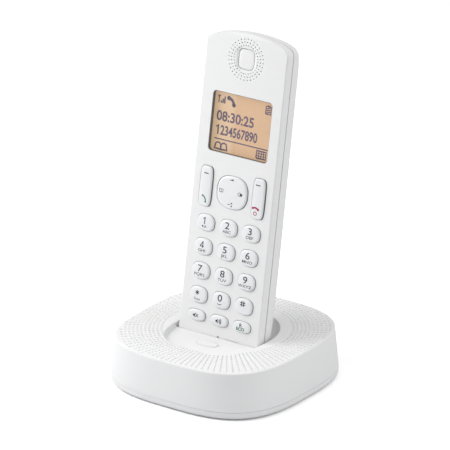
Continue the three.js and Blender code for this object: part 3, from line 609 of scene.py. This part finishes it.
base_shell = solid("base_shell", base_form(0, BASE.seam))
cut(base_shell, solid("hollow", base_form(BASE.wall, BASE.seam - OVER)))
for lining in (solid("shelf", shelf_form(LINING)), bowl_cut(LINING), pocket_form(LINING)):
    join(base_shell, keep(lining, solid("limit", base_form(SLIVER, BASE.seam))))
cut(base_shell, solid("shelf", shelf_form(0)), bowl_cut(0), pocket_form(0))
cut(base_shell, solid("finder_hole", finder_shape([(GAP, -OVER), (GAP, OVER)])),
    solid("slots", *contact_slots(1.1, 2.2, OVER)),
    solid("sockets", socket_opening(JACK), socket_opening(INLET)), solid("dimples", dimple_shapes()))
finish_piece(base_shell, base_white, "base", "base_casing", "base_top_housing")

# %% [markdown]
# ## Underside of the base
# The lower cover is a shallow tray that draws in towards the table. Its feet sit in round
# recesses, and its screws sit at the bottom of deep holes.

# %% Lower cover
SCREW_AT, FEET_AT, STANDOFFS = (32.5, 32.5), (20.0, 38.0), [(-22, -18), (22, -18), (-22, 30), (22, 30)]
CORNERS = [(-1, -1), (1, -1), (-1, 1), (1, 1)]
ROUNDED_IN, ROUNDED_UP, SEAM_LINE = 2.4, 2.0, 0.14


def at_corners(name, reach, bottom, top, width, count=32):
    """Four round bars as one object, one near each corner of the base."""
    return solid(name, *[post(sx * reach[0], sy * reach[1], bottom, top, width, count) for sx, sy in CORNERS])


outside = [(inward, height) for height, inward in quarter_round(ROUNDED_UP, ROUNDED_IN)]
outside.append((0, BASE.seam - SEAM_LINE))
outside = [square_ring(BASE.half - inward, height) for inward, height in outside]
tray = [square_ring(half, height) for half, height in ((BASE.half - 2.9, 2.0), (FACE, 2.6), (FACE, OVER))]
base_underside = cut(solid("base_underside", loft(outside)), solid("tray", loft(tray)))
join(base_underside, at_corners("pads", SCREW_AT, 1.0, 3.3, 8.0),
     solid("standoffs", *[post(x, y, 1.0, 3.9, 5.0) for x, y in STANDOFFS]))
cut(base_underside, at_corners("heads", SCREW_AT, -OVER, 2.1, 5.6),
    at_corners("shanks", SCREW_AT, -OVER, OVER, 3.0), at_corners("recesses", FEET_AT, -OVER, 1.0, 9.6, 48))
finish_piece(base_underside, base_white, "base", "base_casing", "base_bottom_cover")

# %% [markdown]
# ## Outlines on the handset
# Keys, the window and all openings face forward. Each is a closed shape through outlines, with
# a depth behind the face for every outline. A key's face is a low dome: its depth falls with the
# square of the distance from the middle, measured as a share of the outline.


# %% Shapes that face forward
def rounded(half_width, half_height, corner):
    """A rectangle with quarter-circle corners, as an outline."""
    parts = []
    for quarter, (sx, sy) in enumerate(((1, 1), (-1, 1), (-1, -1), (1, -1))):
        angle = np.linspace(0, math.pi / 2, 9) + quarter * math.pi / 2
        middle = [sx * (half_width - corner), sy * (half_height - corner)]
        parts.append(middle + corner * np.column_stack([np.cos(angle), np.sin(angle)]))
    return np.concatenate(parts)


def facing(x, z, steps):
    """A closed shape through (outline, depth) steps; outlines run across and up the handset."""
    return strung(steps, x, z, leaned, True)


def through(x, z, outline, front=-OVER, back=OVER):
    """A straight shape with one outline, from a front depth to a back depth."""
    return facing(x, z, [(outline, front), (outline, back)])


DOME, SHARES = 0.15, (0.85, 0.7, 0.5, 0.3, 0.12)


def key_cap(x, z, kind):
    """A key: its flange behind the wall, straight sides, a rounded shoulder and a domed face."""
    reach, front, back = kind.flange
    inward, fall = kind.shoulder
    low = DOME - kind.proud
    steps = [(reach, back), (reach, front), (0, front)]
    steps += [(-drawn, low + above) for drawn, above in quarter_round(inward, fall, 8)]
    steps = [(grown(kind, grow), depth) for grow, depth in steps]
    steps += [(grown(kind, -inward) * share, low - DOME * (1 - share**2)) for share in SHARES]
    return facing(x, z, steps)


# %% Key places
KEYS = Sizes(half_width=5.15, half_height=4.2, bend=2.6, proud=1.3, flange=(0.7, 2.1, 2.9),
             shoulder=(1.2, 1.05), clear=(0.3, 0.12))
SMALL = Sizes(**{**vars(KEYS), "half_height": 2.9})
BAR = Sizes(half_width=3.5, half_height=10.05, bend=5.0, proud=1.2, flange=(0.95, 2.8, 3.3),
            shoulder=(0.9, 0.75), clear=(0.55, 0.15))
NAV = Sizes(half_width=8.9, half_height=8.2, bend=2.5, proud=1.0, flange=(0.55, 2.7, 3.2),
            shoulder=(1.3, 0.85), clear=(0.5, 0.15))
ROWS = [("1 2 3", 64.15, KEYS), ("4 5 6", 51.98, KEYS), ("7 8 9", 39.81, KEYS), ("star 0 hash", 27.64, KEYS),
        ("mute speakerphone recall", 17.29, SMALL)]
COLUMNS = (-13.6, 0.0, 13.6)
places = {f"key_{name}": (x, z, kind) for names, z, kind in ROWS for name, x in zip(names.split(), COLUMNS)}
places.update(talk_rocker=(-15.7, 82.2, BAR), off_rocker=(15.7, 82.2, BAR), navigation_key=(0.0, 81.95, NAV))
print("keys:", len(places))

# %% [markdown]
# ## Front of the handset
# The front case is the skin of the handset's form, 1.8 mm thick, from the face back to the
# parting line. The ear dish is a shallow hollow with soft edges. A narrow groove in it runs round
# a flush pad, and three rings of fine holes lie around it, pitched at one step of the angle each.

# %% Front case
WINDOW = Sizes(half_width=17.65, half_height=15.05, corner=2.0, x=0.5, z=115.1)
EAR = Sizes(z=148.2, half_width=4.75, half_height=5.15, bend=4.0, hole=0.68,
            rings=[(7.0, 30), (8.55, 32), (10.1, 32)])
EAR_DISH = [(1.5, -OVER), (1.5, -0.02), (1.2, 0.03), (0.8, 0.14), (0.3, 0.34), (0.05, 0.6), (0.05, 1.3),
            (-0.35, 1.3), (-0.35, 0.62), (-0.6, 0.48), (-1.0, 0.42), (-2.2, 0.36)]
front_shell = solid("front_shell", handset_form(0))
keep(front_shell, solid("front_part", slab(-OVER, HAND.parting - GAP)))
cut(front_shell, solid("hollow", handset_form(HAND.wall)))
openings = [through(x, z, grown(kind, *kind.clear)) for x, z, kind in places.values()]
window_outline = rounded(WINDOW.half_width, WINDOW.half_height, WINDOW.corner)
openings.append(through(WINDOW.x, WINDOW.z, window_outline))
dish = facing(0, EAR.z, [(grown(EAR, grow), depth) for grow, depth in EAR_DISH])
cut(front_shell, solid("openings", *openings), solid("dish", dish))
holes = [peg(radius * math.cos(turn), EAR.z + radius * math.sin(turn), -OVER, OVER / 2, EAR.hole, 8)
         for radius, count in EAR.rings for turn in np.arange(count) * 2 * math.pi / count]
holes += [peg(4.5 + 1.5 * index, 8.9, -OVER, 0.8, 0.6, 8) for index in range(6)]
holes.append(peg(0, 9.0, -OVER, OVER / 2, 1.1))
cut(front_shell, solid("holes", *holes))
finish_piece(front_shell, handset_white, "handset", "handset_casing", "handset_front_case")

# %% [markdown]
# ## Back of the handset
# The rear case has a window for the battery cover, two screw towers and the slots of the ringer.
# Behind the cover lies the tray for the two cells.

# %% Rear case and battery cover
COVER = Sizes(half=17.0, low=30.0, high=90.0, corner=4.0, front=8.4)
TRAY = Sizes(half=11.1, low=36.0, high=82.7, front=6.9, back=8.1, rise=8.0, wall=1.2)
TOWER = Sizes(x=17.0, z=96.0, width=7.0, head=5.0, shank=2.5, seat=8.9)
RINGER_SLOTS, GRIP_AT, GRIP_DEPTH = (116.8, 120.0, 123.2), 80, 0.55


def cover_tool(inset):
    """The space that the battery cover fills, drawn in by a gap."""
    middle = (COVER.low + COVER.high) / 2
    line = rounded(COVER.half - inset, (COVER.high - COVER.low) / 2 - inset, COVER.corner - inset)
    return through(0, middle, line, COVER.front + inset, FAR)


def towers(name, front, back, width):
    """Two round bars as one object, where the screw towers stand."""
    return solid(name, *[peg(x, TOWER.z, front, back, width) for x in (-TOWER.x, TOWER.x)])


def inside_case():
    """The handset's form, drawn in by half its wall."""
    return solid("limit", handset_form(HAND.wall / 2))


rear_shell = keep(solid("rear_shell", handset_form(0)), solid("rear_part", slab(HAND.parting + GAP, FAR)))
cut(rear_shell, solid("hollow", handset_form(HAND.wall)), solid("cover_space", cover_tool(0)))
front, back = TRAY.front, TRAY.back
low, high, side, wall = TRAY.low, TRAY.high, TRAY.half, TRAY.wall
tray_floor = block((-WIDE, front, COVER.low), (WIDE, back, COVER.high), leaned)
tray_walls = block((-side - wall, front, low - wall), (side + wall, back + TRAY.rise, high + wall), leaned)
tray_space = block((-side, back, low), (side, FAR, high), leaned)
join(rear_shell, keep(solid("tray_floor", tray_floor), inside_case()), solid("tray_walls", tray_walls),
     keep(towers("towers", HAND.parting + GAP, 40, TOWER.width), inside_case()))
cut(rear_shell, solid("tray_space", tray_space), towers("heads", TOWER.seat, FAR, TOWER.head),
    towers("shanks", -OVER, FAR, TOWER.shank),
    solid("ringer_slots", *[through(0, z, rounded(4.5, 0.6, 0.55), 8, FAR) for z in RINGER_SLOTS]),
    solid("contact_slots", *contact_slots(2, 2.5, 3)))
finish_piece(rear_shell, rear_white_painted_shade, "handset", "handset_casing", "handset_rear_case")

battery_door = keep(solid("battery_door", handset_form(0)), solid("cover_space", cover_tool(GAP)))
grip_front = float(ridge_depth(np.array([float(GRIP_AT)]))[0]) - GRIP_DEPTH
grip = [through(0, GRIP_AT - 1.8 * index, rounded(8 - 0.7 * index, 0.45, 0.4), grip_front, FAR)
        for index in range(6)]
cut(battery_door, solid("hollow", handset_form(HAND.wall)), solid("grip", *grip))
finish_piece(battery_door, rear_white_painted_shade, "battery_cover", "handset_casing", "battery_cover")

# %% [markdown]
# ## Keys
# Each key keeps its flange behind the wall, so no light passes around it. The flange and the straight
# sides take a grey tone, painted shade for the dark gap beside each key. A rounded shoulder follows,
# and the face is slightly domed.

# %% Key caps
# Painted shade: the keys' flanges and straight sides take a grey tone for the shaded gap around each key.
key_side_painted_shade = plastic("key_skirt_rubber", (140, 143, 145), 0.6, 0.75, 900.0, 0.1)
SHADED_SIDE_ROWS = range(3)
for node, (x, z, kind) in places.items():
    cap = solid("cap_" + node.removeprefix("key_").removesuffix("_key"), key_cap(x, z, kind))
    two_tones(cap, key_white_painted_shade, key_side_painted_shade, in_rows(cap, OVAL_POINTS, SHADED_SIDE_ROWS))
    finish_piece(cap, key_white_painted_shade, node, "keys", node)

# %% [markdown]
# ## Finder button
# A low oval cap on the shelf of the base. Its flange and its stem reach down to the switch.

# %% Finder button
rim, proud, sunk = 0.3, 0.3, 0.08
levels = [(0.8, -3.2), (0.8, -2.3), (0, -2.3)]
levels += [(-inward, proud - fall - sunk) for inward, fall in quarter_round(rim, rim)]
levels += [(-rim - 0.8, proud - 0.03), (-rim - 2.0, proud)]
stem = post(0, FINDER.y, 10.8, finder_top - 2.6, 2.4)
finder_cap = join(solid("finder_cap", finder_shape(levels)), solid("stem", stem))
finish_piece(finder_cap, base_white, "finder_button", "base_casing", "finder_button")

# %% [markdown]
# ## Window and display
# The window is a clear pane with a dark painted edge and a dark painted lip behind the case; their tone
# is darkened as painted shade for the shaded inner wall of the window. The display behind it glows a
# little, a backlight turned up as painted light to fill the window's shadow on it: its tone drifts from
# a pale amber at its left edge to a deeper one that fills the rest, and a fine grid of picture elements lies in
# it.

# %% Clear pane
clear, tree, shader = new_material("clear_window")
set_values(shader, Base_Color=(0.95, 0.95, 0.94, 1), Alpha=0.06, Specular_IOR_Level=0.4)
wire(tree, (add_grain(tree, 0.05, 0.09), "Mottle", shader, "Roughness"))
# A dark border on the pane's edge and lip, its tone darkened as painted shade for the window's shaded inner
# wall.
frame_paint_and_shade = plastic("window_frame_paint_and_shade", (66, 60, 50), 0.45, 0.6)

lip = rounded(19.5, 16.65, 2.0)
edge, front = [rounded(WINDOW.half_width - gap, WINDOW.half_height - gap, corner)
               for gap, corner in ((0.12, 1.9), (0.22, 1.8))]
pane_steps = [(lip, 2.9), (lip, 2.1), (edge, 2.1), (edge, 0.35), (front, 0.25)]
window_pane = solid("window_pane", facing(WINDOW.x, WINDOW.z, pane_steps))
pane_faces = window_pane.data.polygons
normals = np.empty(len(pane_faces) * 3)
pane_faces.foreach_get("normal", normals)
sideways = np.abs(normals.reshape(-1, 3) @ BACK) <= 0.9
sideways |= np.array([len(face.vertices) == 4 for face in pane_faces])
two_tones(window_pane, clear, frame_paint_and_shade, sideways)
finish_piece(window_pane, clear, "handset", "lens", "display_window")


# %% Display
def add_mix(tree, first, second):
    """A node that mixes two colours."""
    mix = add_node(tree, "ShaderNodeMix", data_type="RGBA")
    mix.inputs[6].default_value, mix.inputs[7].default_value = first, second
    return mix


amber, tree, glow = new_material("amber_display")
place, axes = add_node(tree, "ShaderNodeTexCoord"), add_node(tree, "ShaderNodeSeparateXYZ")
drift = add_node(tree, "ShaderNodeMapRange", From_Min=-0.0064, From_Max=-0.0046)
tones = add_mix(tree, srgb(220, 184, 142), srgb(213, 170, 126))
cells = add_node(tree, "ShaderNodeTexChecker", Scale=2400.0)
grid = add_node(tree, "ShaderNodeMapRange", To_Min=0.97, To_Max=1.0)
final = add_node(tree, "ShaderNodeVectorMath", operation="SCALE")
lit = add_node(tree, "ShaderNodeVectorMath", operation="SCALE", Scale=0.4)
wire(tree, (place, "Object", axes, 0), (axes, "X", drift, "Value"), (drift, "Result", tones, "Factor"),
     (place, "Object", cells, "Vector"), (cells, "Fac", grid, "Value"), (tones, 2, final, 0),
     (grid, "Result", final, "Scale"), (final, "Vector", lit, 0), (lit, "Vector", glow, "Base Color"),
     (final, "Vector", glow, "Emission Color"), (add_grain(tree, 0.35, 0.45), "Mottle", glow, "Roughness"))
# The backlight glow is turned up so far that it also fills the shadow that the window's wall casts on the
# display: partly painted light.
set_values(glow, Emission_Strength=0.6)

SCREEN_DEPTH = 3.2
screen_steps = [(rounded(20.5 - inward, 16.5 - inward, corner), depth) for inward, corner, depth in
                ((0, 1.0, 5.0), (0, 1.0, 3.7), (0.3, 0.8, 3.4), (1.2, 0.6, 3.4), (1.3, 0.6, SCREEN_DEPTH))]
display_face = solid("display_face", facing(0, WINDOW.z, screen_steps))
finish_piece(display_face, amber, "handset", "display", "display_module")

# %% [markdown]
# ## Print on the keys and the display
# Digits and letters are font outlines, made into thin meshes. Symbols are bands along a path: the
# band's sides lie half a width to either side of the path. A legend follows its key's dome.


# %% Lettering and symbols
HALF_INK, INK_PROUD = 0.02, 0.03


def lettering(text, size, x=0.0, z=0.0, bold=0.0, squeeze=1.0):
    """Font outlines as one thin shape, centred on (x, z); its third axis is the height above the face."""
    curve = bpy.data.curves.new("lettering", "FONT")
    curve.body, curve.size, curve.offset, curve.extrude, curve.resolution_u = text, size, bold, HALF_INK, 5
    curve.align_x = curve.align_y = "CENTER"
    maker = bpy.data.objects.new("lettering", curve)
    bpy.context.scene.collection.objects.link(maker)
    mesh = bpy.data.meshes.new_from_object(maker.evaluated_get(bpy.context.evaluated_depsgraph_get()))
    points = np.empty(len(mesh.vertices) * 3)
    mesh.vertices.foreach_get("co", points)
    faces = [list(face.vertices) for face in mesh.polygons]
    bpy.data.objects.remove(maker)
    bpy.data.curves.remove(curve)
    bpy.data.meshes.remove(mesh)
    return points.reshape(-1, 3) * [squeeze, 1, 1] + [x, z, 0], faces


def sheet(outline):
    """A thin closed plate over an outline of (across, up) points."""
    outline = np.asarray(outline, float)
    return strung([(outline, -HALF_INK), (outline, HALF_INK)], place=np.asarray)


def band(path, width):
    """A band along a path."""
    path = np.asarray(path, float)
    along = np.gradient(path, axis=0)
    along /= np.linalg.norm(along, axis=1)[:, None]
    aside = np.column_stack([-along[:, 1], along[:, 0]]) * (width / 2)
    return sheet(np.concatenate([path + aside, (path - aside)[::-1]]))


def arc(x, z, radius, start, end, width, count=15):
    """A band along part of a circle, between two angles in degrees."""
    turn = np.radians(np.linspace(start, end, count))
    return band(np.column_stack([x + radius * np.cos(turn), z + radius * np.sin(turn)]), width)


def disc(x, z, radius):
    return sheet(circle(radius, 20) + [x, z])


def bar(x, z, half_width, half_height):
    low, high = (x - half_width, z - half_height, -HALF_INK), (x + half_width, z + half_height, HALF_INK)
    return block(low, high, np.asarray)


def box_line(half, low, high, width):
    """A band round a rectangle."""
    return band([(-half, low), (half, low), (half, high), (-half, high), (-half, low)], width)


def moved(shapes, x, z):
    return [(points + [x, z, 0], faces) for points, faces in shapes]


def receiver(x, z, length, turn, thick=0.5):
    """A handset symbol: a bowed grip with a round end piece at either end, turned by an angle in degrees."""
    share = np.linspace(-1, 1, 17)
    path = np.column_stack([share * length / 2, 0.2 * length * (1 - share**2) - 0.1 * length])
    c, s = math.cos(math.radians(turn)), math.sin(math.radians(turn))
    path = path @ np.array([[c, s], [-s, c]]) + [x, z]
    return [band(path, thick), disc(*path[1], 0.75 * thick), disc(*path[-2], 0.75 * thick)]


def print_on(name, ink, body, shapes, x, z, surface):
    """Sets shapes on a face: the surface gives the depth at each point, and the ink stands a little proud."""
    placed = []
    for points, faces in shapes:
        across, up, height = points.T
        depth = surface(across, up) - INK_PROUD - height
        placed.append((leaned(np.column_stack([x + across, depth, z + up])), faces))
    legend = solid(name, *placed)
    work = bmesh.new()
    work.from_mesh(legend.data)
    bmesh.ops.remove_doubles(work, verts=work.verts, dist=2e-6)
    bmesh.ops.recalc_face_normals(work, faces=work.faces)
    work.to_mesh(legend.data)
    work.free()
    return finish_piece(legend, ink, body, "keys" if body != "handset" else "display")


def print_key(name, ink, node, shapes):
    """Prints on a key, whose face is -proud deep in the middle and lower by the dome at its shoulder."""
    x, z, kind = places[node]
    half_width, half_height = kind.half_width - kind.shoulder[0], kind.half_height - kind.shoulder[0]
    bend = kind.bend

    def surface(across, up):
        share = (np.abs(across / half_width) ** bend + np.abs(up / half_height) ** bend) ** (1 / bend)
        return -kind.proud + DOME * share**2
    return print_on(name, ink, node, shapes, x, z, surface)


# %% Legends of the keys
LETTERS = {"2": "ABC", "3": "DEF", "4": "GHI", "5": "JKL", "6": "MNO", "7": "PQRS", "8": "TUV", "9": "WXYZ"}
ASIDE = -0.25
legends = {name: [lettering(name, 4.8, ASIDE, 1.1, bold=0.03, squeeze=1.2)] for name in "234567890"}
# The font's 4 fills in at this size, so a band and two bars draw it.
legends["4"] = [band([(0.2, 2.75), (-1.35, 0.35)], 0.42)]
legends["1"] = [bar(ASIDE + 0.15, 1.1, 0.27, 1.72),
                sheet([(-1.05, 1.75), (-1.05, 2.2), (0.1, 2.82), (0.1, 2.3)])]
for name, letters in LETTERS.items():
    legends[name].append(lettering(letters, 2.05, ASIDE, -1.9, bold=0.005, squeeze=1.28))
legends["4"] += [bar(-0.3, 0.3, 1.15, 0.22), bar(0.15, 1.1, 0.24, 1.7)]
legends["1"] += [disc(-1.1, -1.8, 0.42), arc(0.5, -1.85, 0.4, 0, 360, 0.2), bar(-0.3, -2.25, 0.9, 0.1)]
legends["0"].append(band([(-1.4, -1.5), (-1.1, -1.95), (0.6, -1.95), (0.9, -1.5)], 0.32))
middle, angles = np.array([ASIDE, 1.2]), np.radians((30, 90, 150))
arms = 1.15 * np.column_stack([np.cos(angles), np.sin(angles)])
legends["star"] = [band([middle - arm, middle, middle + arm], 0.46) for arm in arms]
legends["star"].append(lettering("Tone", 1.7, ASIDE, -2.1))
legends["hash"] = [bar(ASIDE + x, 1.45, 0.22, 1.4) for x in (-0.6, 0.6)]
legends["hash"] += [bar(ASIDE, 1.45 + z, 1.5, 0.22) for z in (-0.5, 0.5)]
speaker = [sheet([(-1.5, -0.5), (-0.8, -0.5), (0, -1.15), (0, 1.15), (-0.8, 0.5), (-1.5, 0.5)])]
legends["mute"] = speaker + [band([(0.2, 0.75), (1.5, -0.75)], 0.32), band([(0.2, -0.75), (1.5, 0.75)], 0.32)]
legends["speakerphone"] = speaker + [arc(-0.1, 0.0, radius, -48, 48, 0.3) for radius in (0.75, 1.3, 1.85)]
legends["recall"] = [lettering("R", 2.5, ASIDE, 0.9, bold=0.03, squeeze=1.15)]
for name, shapes in legends.items():
    print_key(f"legend_{name}", grey_ink, f"key_{name}", shapes)
print_key("legend_eco", green_ink, "key_recall", [lettering("ECO", 2.2, ASIDE, -1.0, bold=0.05, squeeze=1.1)])

# %% Legends of the long keys and the navigation key
print_key("legend_left_dash", grey_ink, "talk_rocker", [bar(0.1, 6.5, 1.3, 0.24)])
print_key("legend_right_dash", grey_ink, "off_rocker", [bar(-0.5, 6.8, 1.4, 0.24)])
print_key("legend_talk", green_ink, "talk_rocker", receiver(0.3, -6.2, 3.9, -58, 0.62))
print_key("legend_off", red_ink, "off_rocker",
          receiver(-0.7, -4.8, 3.6, -6, 0.8) + [arc(-0.7, -7.3, 0.85, 0, 360, 0.36, 25)])
pages = [(-1.1, 0.75), (-1.1, -0.75), (0, -0.95), (1.1, -0.75), (1.1, 0.75), (0, 0.55), (-1.1, 0.75)]
marks = [sheet([(-2.1, 6.0), (0.55, 6.85), (0.55, 6.0)]), arc(4.7, 0.2, 0.85, 0, 360, 0.24)]
marks += [disc(5.7, 0.1, 0.75)] + moved([band(pages, 0.22), bar(0, -0.2, 0.11, 0.75)], -6.1, 0.2)
marks += [bar(-0.9, -5.9, 0.7, 0.16), disc(0.6, -5.2, 0.4), disc(0.6, -6.6, 0.4)]
print_key("legend_navigation", grey_ink, "navigation_key", marks)

# %% Display graphics
lcd_ink = plastic("lcd_segment_ink", (58, 6, 66), 0.35, 0.45)


def fitted(text, left, right, low, high, bold=0.0):
    """Lettering stretched to a box on the display."""
    points, faces = lettering(text, 5.0, bold=bold)
    corner, size = points[:, :2].min(axis=0), np.ptp(points[:, :2], axis=0)
    flat = (points[:, :2] - corner) / size * [right - left, high - low] + [left, low]
    return np.column_stack([flat, points[:, 2]]), faces


signal = [bar(-1.5, 0, 0.28, 1.8), sheet([(-2.5, 1.9), (-0.5, 1.9), (-1.5, 0.4)])]
signal += [bar(-0.1 + index, tall / 2 - 1.8, 0.4, tall / 2) for index, tall in enumerate((1.2, 2.3, 3.5))]
battery = [box_line(1.5, -2.1, 1.6, 0.7), bar(0, 1.95, 0.9, 0.35)]
battery += [band([(-1.0, level - 0.3), (1.0, level + 0.3)], 0.6) for level in (-1.2, -0.2, 0.8)]
page = np.array([(0.1, -1.6), (0.1, 1.1), (0.8, 1.75), (1.8, 2.0), (2.8, 1.7), (3.2, 1.1), (3.7, -1.6),
                 (2.7, -1.2), (1.5, -1.2), (0.1, -1.6)])
open_book = [band(page * [side, 1], 0.8) for side in (-1, 1)]
keypad = [box_line(2.8, -1.5, 2.2, 0.8)] + [bar(x, 0.35, 0.25, 1.8) for x in (-1.4, 0.0, 1.4)]
keypad += [bar(0, z, 2.7, 0.22) for z in (-0.25, 0.95)]
one = [bar(0, 0, 0.42, 2.45), sheet([(-1.3, 0.9), (-1.3, 1.55), (0.3, 2.45), (0.3, 1.6)])]
screen = moved(signal, -14.2, 10.4) + receiver(-8.2, 10.5, 5.0, -42, 1.5)
screen += moved(battery, 13.6, 10.5) + moved(one, -14.6, -4.65)
screen += [fitted("08:30:25", -16.2, 5.9, -0.2, 4.9, 0.12), fitted("234567890", -13.2, 8.7, -7.2, -2.1, 0.13),
           bar(-0.3, -9.2, 15.9, 0.3)]
screen += moved(open_book, -12.0, -12.9) + moved(keypad, 11.9, -12.6)
print_on("display_ink", lcd_ink, "handset", screen, 0.3, WINDOW.z, lambda *at: SCREEN_DEPTH)

# %% [markdown]
# ## Small parts
# Feet, screws and cells are turned shapes: circles strung along an axis. A cross is sunk in each
# screw head. The line socket has four sprung wires, and the power inlet a centre pin. The boards,
# plates and contacts keep the packed shapes and take finishes of their own.

# %% Feet and screws
FOOT_PAD = [(2.4, -0.28), (2.8, -0.4), (4.2, -0.4), (4.42, -0.3), (4.5, -0.1), (4.5, 0.7)]
HEAD = [(1.2, 0.0), (1.9, 0.08), (2.35, 0.3), (2.5, 0.65), (2.5, 1.5), (1.2, 1.5), (1.2, 7.9), (0.6, 8.4)]
CASE_SCREW_SIZE, CASE_SCREW_END = 0.88, 10.7
for index, (sx, sy) in enumerate(CORNERS, 1):
    foot_pad = solid(f"foot_pad_{index}", turned(FOOT_PAD, sx * FEET_AT[0], sy * FEET_AT[1]))
    finish_piece(foot_pad, rubber, "base", "rubber", f"base_foot_{index}")
    x, y = sx * SCREW_AT[0], sy * SCREW_AT[1]
    base_bolt = solid(f"base_bolt_{index}", turned([(radius, along + GAP) for radius, along in HEAD], x, y))
    cut(base_bolt, *[solid("cross", block((x - a, y - b, -1), (x + a, y + b, 1.0)))
                     for a, b in ((1.35, 0.28), (0.28, 1.35))])
    finish_piece(base_bolt, steel, "base", "steel", f"base_screw_{index}")
for side, x in (("left", -TOWER.x), ("right", TOWER.x)):
    z = TOWER.z
    levels = [(radius * CASE_SCREW_SIZE, CASE_SCREW_END - along * CASE_SCREW_SIZE) for radius, along in HEAD]
    case_bolt = solid(f"case_bolt_{side}", turned(levels, x, z, leaned, True))
    cut(case_bolt, *[solid("cross", block((x - a, 10.0, z - b), (x + a, 12, z + b), leaned))
                     for a, b in ((1.2, 0.25), (0.25, 1.2))])
    finish_piece(case_bolt, steel, "handset", "steel", f"case_screw_{side}")

# %% Cells
CELL = [(3.6, 0.0), (4.3, 0.0), (4.65, 0.1), (5.0, 0.35), (5.25, 0.75), (5.25, 42.9), (5.0, 43.35),
        (4.6, 43.65), (1.9, 43.7), (1.9, 44.3), (1.7, 44.5)]
SLEEVE_ROWS, CELL_DEPTH = (4, 5), 13.65
for side, x, start, way in (("left", -5.55, 37.1, 1), ("right", 5.55, 81.6, -1)):
    levels = [(radius, start + way * along) for radius, along in CELL]
    cell_body = solid(f"cell_{side}", turned(levels, x, CELL_DEPTH, leaned, count=48))
    two_tones(cell_body, steel, cell_sleeve, in_rows(cell_body, 48, SLEEVE_ROWS))
    finish_piece(cell_body, steel, "handset", "cell", f"battery_cell_{side}")

# %% Sockets
x = JACK.x
line_socket = solid("line_socket", rear_block(x, JACK.width / 2, 12.6, 0, 0, JACK.height))
cut(line_socket, solid("opening", rear_block(x, 4.9, 10, 1, 2.6, 9.4)),
    solid("latch_way", rear_block(x, 3.1, 10, 1, 1.0, 3.0)),
    solid("latch_step", rear_block(x, 1.6, 3, 1, 0.5, 1.5)))
finish_piece(line_socket, black, "base", "black_plastic", "line_jack")
wire_path = np.array([(-9.8, 9.0), (-9.3, 9.1), (-8.6, 8.4), (-5.0, 5.6), (-2.6, 4.6)]) + [FACE, LIFT]
points, faces = band(wire_path, 0.4)
points = points[:, [2, 0, 1]] * [10, 1, 1]
wires = [(raised(points + [x + offset, 0, 0]), faces) for offset in (-1.9, -0.65, 0.65, 1.9)]
finish_piece(solid("line_contacts", *wires), gold, "base", "contact_metal")

x, middle = INLET.x, LIFT + INLET.height / 2
power_inlet = solid("power_inlet", rear_block(x, INLET.width / 2, 11.6, 0, 0, INLET.height))
bore = [(3.0, FACE - 9), (3.0, FACE - 0.5), (3.4, FACE), (3.4, FACE + 1)]
centre_pin = [(0.8, FACE - 9.4), (0.8, FACE - 1.0), (0.65, FACE - 0.6), (0.35, FACE - 0.3)]
cut(power_inlet, solid("bore", turned(bore, x, middle, deep=True)))
join(power_inlet, solid("centre_pin", turned(centre_pin, x, middle, deep=True)))
finish_piece(power_inlet, black, "base", "black_plastic", "dc_inlet")

# %% Finishes of the packed shapes that stay
STAYING = [(board_green, "base_circuit_board handset_circuit_board"),
           (rubber, "keypad_mat navigation_carrier"), (black, "finder_switch ear_speaker ringer_speaker"),
           (steel, "microphone battery_plate_lower battery_plate_upper"),
           (gold, "charge_pin_left charge_pin_right charge_terminal_left charge_terminal_right")]
for material, names in STAYING:
    for name in names.split():
        for material_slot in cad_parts[name].material_slots:
            material_slot.material = material
    print(material.name, "on", names)

# %% [markdown]
# ## Light and floor
# A catalogue picture: a white ground under an even white sky, and six soft lamps. Two shine from
# the left, two from the right, one from behind above and a broad one from the right rear, which
# brightens the sides. The ground shows as pure white to the camera and to reflections only.

# %% Floor, world and lamps
floor = solid("floor", block((-3000, -3000, -10), (3000, 3000, -FOOT)))
floor_material, tree, ground = new_material("studio_floor")
floor.data.materials.append(floor_material)
set_values(ground, Roughness=0.9, Specular_IOR_Level=0.0)
rays = add_node(tree, "ShaderNodeLightPath")
seen = add_node(tree, "ShaderNodeMath", operation="MAXIMUM")
tone = add_mix(tree, srgb(225, 226, 228), (1.25, 1.25, 1.25, 1.0))
wire(tree, (rays, "Is Camera Ray", seen, 0), (rays, "Is Glossy Ray", seen, 1), (seen, 0, tone, "Factor"),
     (tone, 2, ground, "Base Color"))

world = bpy.data.worlds.new("studio")
bpy.context.scene.world = world
world.use_nodes = True
tree = world.node_tree
sky = set_values(tree.nodes["Background"], Color=(1.0, 1.0, 1.0, 1.0))
rays = add_node(tree, "ShaderNodeLightPath")
glossy, seen = [add_node(tree, "ShaderNodeMath", operation="MAXIMUM") for _ in range(2)]
level = add_node(tree, "ShaderNodeMapRange", To_Min=0.49, To_Max=1.0)
wire(tree, (rays, "Is Camera Ray", glossy, 0), (rays, "Is Glossy Ray", glossy, 1), (glossy, 0, seen, 0),
     (rays, "Is Transmission Ray", seen, 1), (seen, 0, level, "Value"), (level, "Result", sky, "Strength"))

LAMPS = [("left_softbox", -25, 45, 1.4, 1.0, 1.7), ("left_strip", -60, 30, 0.5, 0.35, 1.8),
         ("right_softbox", 80, 50, 1.4, 0.8, 0.6), ("right_strip", 60, 12, 1.2, 0.5, 0.8),
         ("rear_softbox", 150, 72, 1.7, 1.2, 5.0), ("side_softbox", 115, 28, 1.6, 1.1, 5.8)]
for name, azimuth, elevation, distance, size, power in LAMPS:
    data = bpy.data.lights.new(name, "AREA")
    data.size, data.energy = size, power
    look_at(bpy.data.objects.new(name, data), Vector((0, 0, 0.08)), azimuth, elevation, distance)
bpy.context.scene.view_settings.view_transform = "Standard"
